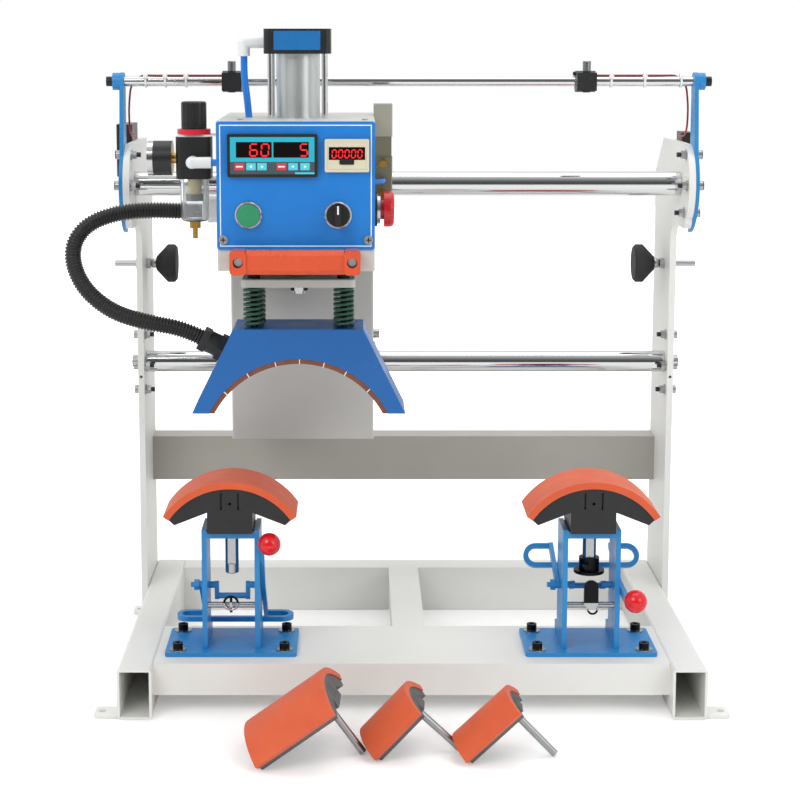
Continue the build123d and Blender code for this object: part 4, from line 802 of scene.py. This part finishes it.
# %% Selector line and screw slots
shape = bmesh.new()
knob_x = CARRIAGE_X + 0.0465
block(shape, (knob_x - 0.0009, -0.2413, 0.5895), (knob_x + 0.0009, -0.24098, 0.5988), 0.0001)
fit("selector_line", shape, white_line, "selector")
shape = bmesh.new()
PANEL_SCREW_X, PANEL_SCREW_Z = 0.080, 0.560
SLOT_FRONT, SLOT_BACK = -0.22635, -0.22615
for x in (CARRIAGE_X - PANEL_SCREW_X, CARRIAGE_X + PANEL_SCREW_X):
    for half_x, half_z in ((0.0030, 0.0006), (0.0006, 0.0030)):
        low_corner = (x - half_x, SLOT_FRONT, PANEL_SCREW_Z - half_z)
        block(shape, low_corner, (x + half_x, SLOT_BACK, PANEL_SCREW_Z + half_z))
fit("panel_screw_slots", shape, black_abs, "carriage")

# %% [markdown]
# ## Plate on the cylinder
# The cylinder's cap carries a plain blue plate on its front. Paint alone would have no edge, so it is a
# quarter of a millimetre thick.

# %% Cylinder plate
shape = bmesh.new()
block(shape, (CARRIAGE_X - 0.0262, -0.15995, 0.7668), (CARRIAGE_X + 0.0262, -0.15970, 0.7880), 0.0001)
fit("cylinder_plate", shape, plate_blue, "carriage")

# %% [markdown]
# ## Pressure gauge face
# The gauge faces the left. A white dial, short black marks round three quarters of a turn, a needle and a
# clear lens fill its case. The marks could be drawn one by one, but turning a bar about the dial's centre
# spaces them evenly.

# %% Gauge dial, marks and needle
GAUGE = Vector((-0.2989, -0.120, 0.643))
DIAL_RADIUS = 0.0179
SCALE_START, SCALE_STEP, SCALE_MARKS = -135, 13.5, 21
NEEDLE_ANGLE = -40
shape = bmesh.new()
disc(shape, GAUGE, (1, 0, 0), DIAL_RADIUS, 0.0006, 48)
fit("gauge_dial", shape, fitting_white, "carriage")
shape = bmesh.new()
for i in range(SCALE_MARKS):
    angle = math.radians(SCALE_START + SCALE_STEP * i)
    size = 0.0030 if i % 5 == 0 else 0.0018
    spin = Matrix.Translation(GAUGE) @ Matrix.Rotation(angle, 4, "X")
    bar(shape, spin @ Matrix.Translation((-0.0004, 0, 0.0150)), (0.0002, 0.0005, size))
needle = Matrix.Translation(GAUGE) @ Matrix.Rotation(math.radians(NEEDLE_ANGLE), 4, "X")
bar(shape, needle @ Matrix.Translation((-0.0010, 0, 0.0050)), (0.0004, 0.0011, 0.0160))
disc(shape, GAUGE + Vector((-0.0008, 0, 0)), (1, 0, 0), 0.0022, 0.0012, 20)
fit("gauge_marks", shape, black_abs, "carriage")
shape = bmesh.new()
disc(shape, GAUGE + Vector((-0.0042, 0, 0)), (1, 0, 0), DIAL_RADIUS, 0.0008, 48)
fit("gauge_lens", shape, clear_bowl, "carriage")

# %% [markdown]
# ## Ties on the laser lead
# White nylon ties hold the lead to the rod. Each is a short band round the rod and the lead together.
# A tube could be cut to length, but a strip that a modifier thickens is simpler to change.

# %% Cable ties
TIE_PLACES = (-0.322, -0.298, -0.2725, 0.2475, 0.2885, 0.333)
TIE_RADIUS = 0.0079
TIE_WIDTH = 0.0024
shape = bmesh.new()
for x in TIE_PLACES:
    band = Matrix.Translation((x, 0.025, 0.7282)) @ Matrix.Rotation(math.radians(90), 4, "Y")
    band = Matrix.Translation((-TIE_WIDTH / 2, 0, 0)) @ band @ Matrix.Diagonal((1.0, 0.90, 1.0, 1.0))
    ring = bmesh.ops.create_circle(shape, segments=32, radius=TIE_RADIUS, matrix=band)
    edges = list({e for v in ring["verts"] for e in v.link_edges})
    grown = bmesh.ops.extrude_edge_only(shape, edges=edges)
    fresh = [v for v in grown["geom"] if isinstance(v, bmesh.types.BMVert)]
    bmesh.ops.translate(shape, vec=(TIE_WIDTH, 0, 0), verts=fresh)
    block(shape, (x - 0.0022, 0.0165, 0.7310), (x + 0.0022, 0.0195, 0.7345), 0.0005)
bmesh.ops.recalc_face_normals(shape, faces=shape.faces)
ties = fit("cable_ties", shape, fitting_white, "frame")
wall = ties.modifiers.new("band_wall", "SOLIDIFY")
wall.thickness = 0.0008
wall.offset = 1.0

# %% [markdown]
# ## Marks on the heater
# White divisions on the front and rear edges of the heater help the operator to centre a cap. They could
# be masked in the finish, but bars turned about the arch's centre follow its edge exactly.

# %% Heater marks
ARCH_CENTRE = Vector((CARRIAGE_X, 0, 0.2992))
MARK_ANGLES = (-48.0, -31.0, -13.5, 0.7, 15.0, 28.7, 45.6)
shape = bmesh.new()
for angle in MARK_ANGLES:
    spin = Matrix.Translation(ARCH_CENTRE) @ Matrix.Rotation(math.radians(angle), 4, "Y")
    for y in (-0.1592, -0.0848):
        bar(shape, spin @ Matrix.Translation((0, y, 0.1127)), (0.0010, 0.0005, 0.0056))
fit("heater_marks", shape, white_line, "heat_platen")

# %% [markdown]
# ## Bright stems on the spare platens
# The stems are ground bar in dark castings. They lean, so no straight band could mask them. A thin sleeve
# covers the part of each stem that shows instead.
# Each row gives the ends of a sleeve: under the casting, and at the stem's tip near the floor.

# %% Spare stems
SPARE_STEMS = [((-0.09354, -0.30218, 0.05231), (-0.05685, -0.30411, 0.00237)),
               ((0.00444, -0.29267, 0.04476), (0.05016, -0.29507, 0.00295)),
               ((0.11001, -0.30715, 0.04716), (0.15326, -0.30942, 0.00279))]
SLEEVE_RADIUS = 0.0041
shape = bmesh.new()
for top, tip in SPARE_STEMS:
    top, tip = Vector(top), Vector(tip)
    way = (tip - top).normalized()
    disc(shape, (top + tip) / 2, way, SLEEVE_RADIUS, (tip - top).length - 0.0002, 32)
fit("spare_stem_sleeves", shape, turned_steel, "frame")

# %% [markdown]
# ## Studio floor
# The press stands on a wide sheet of white paper. Lit paper alone would come out grey. So rays that come
# straight from the camera also see it glow, faintly near the press and fully further out. The shadow under
# the press stays, and the background is plain white.

# %% Floor
def seen_directly(tree, rays):
    """1 for rays that come from the camera, straight or through clear plastic, else 0."""
    inputs = {0: rays.outputs["Is Camera Ray"], 1: rays.outputs["Is Transmission Ray"]}
    return add(tree, "ShaderNodeMath", inputs, operation="MAXIMUM").outputs[0]


FLOOR_HALF = 6.0
FLOOR_DROP = 0.0004
GLOW_NEAR, GLOW_FAR = 0.45, 1.3
GLOW_FAINT = 0.22
shape = bmesh.new()
bmesh.ops.create_grid(shape, x_segments=1, y_segments=1, size=FLOOR_HALF,
                      matrix=Matrix.Translation((0, 0, -FLOOR_DROP)))
paper, tree, shader, place = start("studio_paper", "F6F6F5", 0.9)
mottle(tree, shader, place, "F5F5F4", "F8F8F7", 0.5)
direct = seen_directly(tree, add(tree, "ShaderNodeLightPath"))
away = add(tree, "ShaderNodeVectorMath", {0: place}, operation="LENGTH")
lift = add(tree, "ShaderNodeMapRange", {"Value": away.outputs["Value"], "From Min": GLOW_NEAR,
                                        "From Max": GLOW_FAR, "To Min": GLOW_FAINT, "To Max": 1.0},
           interpolation_type="SMOOTHSTEP")
glow = add(tree, "ShaderNodeMath", {0: direct, 1: lift.outputs["Result"]}, operation="MULTIPLY")
tree.links.new(glow.outputs[0], shader.inputs["Emission Strength"])
shader.inputs["Emission Color"].default_value = (1.0, 1.0, 1.0, 1.0)
floor = make_object("studio_floor", shape, paper)
print("floor ready")

# %% [markdown]
# ## The white tent
# A product photographer sets chrome in a white tent with a dark gap for the camera. The world stands for
# the tent. It is plain white where it is seen directly and darker in front for what the metal reflects.
# A world that is white all round would leave the rods flat.

# %% World
world = bpy.data.worlds.new("studio")
bpy.context.scene.world = world
world.use_nodes = True
tree = world.node_tree
tree.nodes.clear()
way = add(tree, "ShaderNodeTexCoord").outputs["Generated"]
split = add(tree, "ShaderNodeSeparateXYZ", {0: way})
ramp = add(tree, "ShaderNodeMapRange", {"Value": split.outputs["Y"], "From Min": -0.9, "From Max": 0.2,
                                        "To Min": 0.42, "To Max": 0.92})
rays = add(tree, "ShaderNodeLightPath")
dark = add(tree, "ShaderNodeMapRange", {"Value": split.outputs["Y"], "From Min": -0.95, "From Max": -0.25,
                                        "To Min": 0.10, "To Max": 0.92})
shine = add(tree, "ShaderNodeMix", {0: rays.outputs["Is Glossy Ray"], 2: ramp.outputs["Result"],
                                    3: dark.outputs["Result"]}, data_type="FLOAT")
direct = seen_directly(tree, rays)
level = add(tree, "ShaderNodeMix", {0: direct, 2: shine.outputs[0], 3: 1.0}, data_type="FLOAT")
sky = add(tree, "ShaderNodeBackground", {"Color": (1.0, 1.0, 1.0, 1.0), "Strength": level.outputs[0]})
add(tree, "ShaderNodeOutputWorld", {"Surface": sky.outputs[0]})
print("world ready")

# %% [markdown]
# ## Three softboxes
# Large lamps give soft shadows, because their light comes from many directions at once. Spot lamps would
# draw hard edges. The key lamp stands high on the left, a weaker one fills the right, and a third lights
# what faces up.

# %% Lamps
def softbox(name, spot, aim, side, watts):
    """A large square lamp aimed at a point."""
    lamp = bpy.data.lights.new(name, "AREA")
    lamp.size = side
    lamp.energy = watts
    holder = bpy.data.objects.new(name, lamp)
    holder.location = spot
    holder.rotation_euler = (Vector(aim) - Vector(spot)).to_track_quat("-Z", "Y").to_euler()
    bpy.context.scene.collection.objects.link(holder)


softbox("key_softbox", (-1.5, -2.3, 2.3), (0, 0, 0.35), 1.6, 34.0)
softbox("fill_softbox", (1.9, -2.0, 1.5), (0, 0, 0.35), 1.6, 18.0)
softbox("top_softbox", (0.2, 0.4, 2.6), (0, 0, 0.3), 1.8, 16.0)
print("lamps ready")
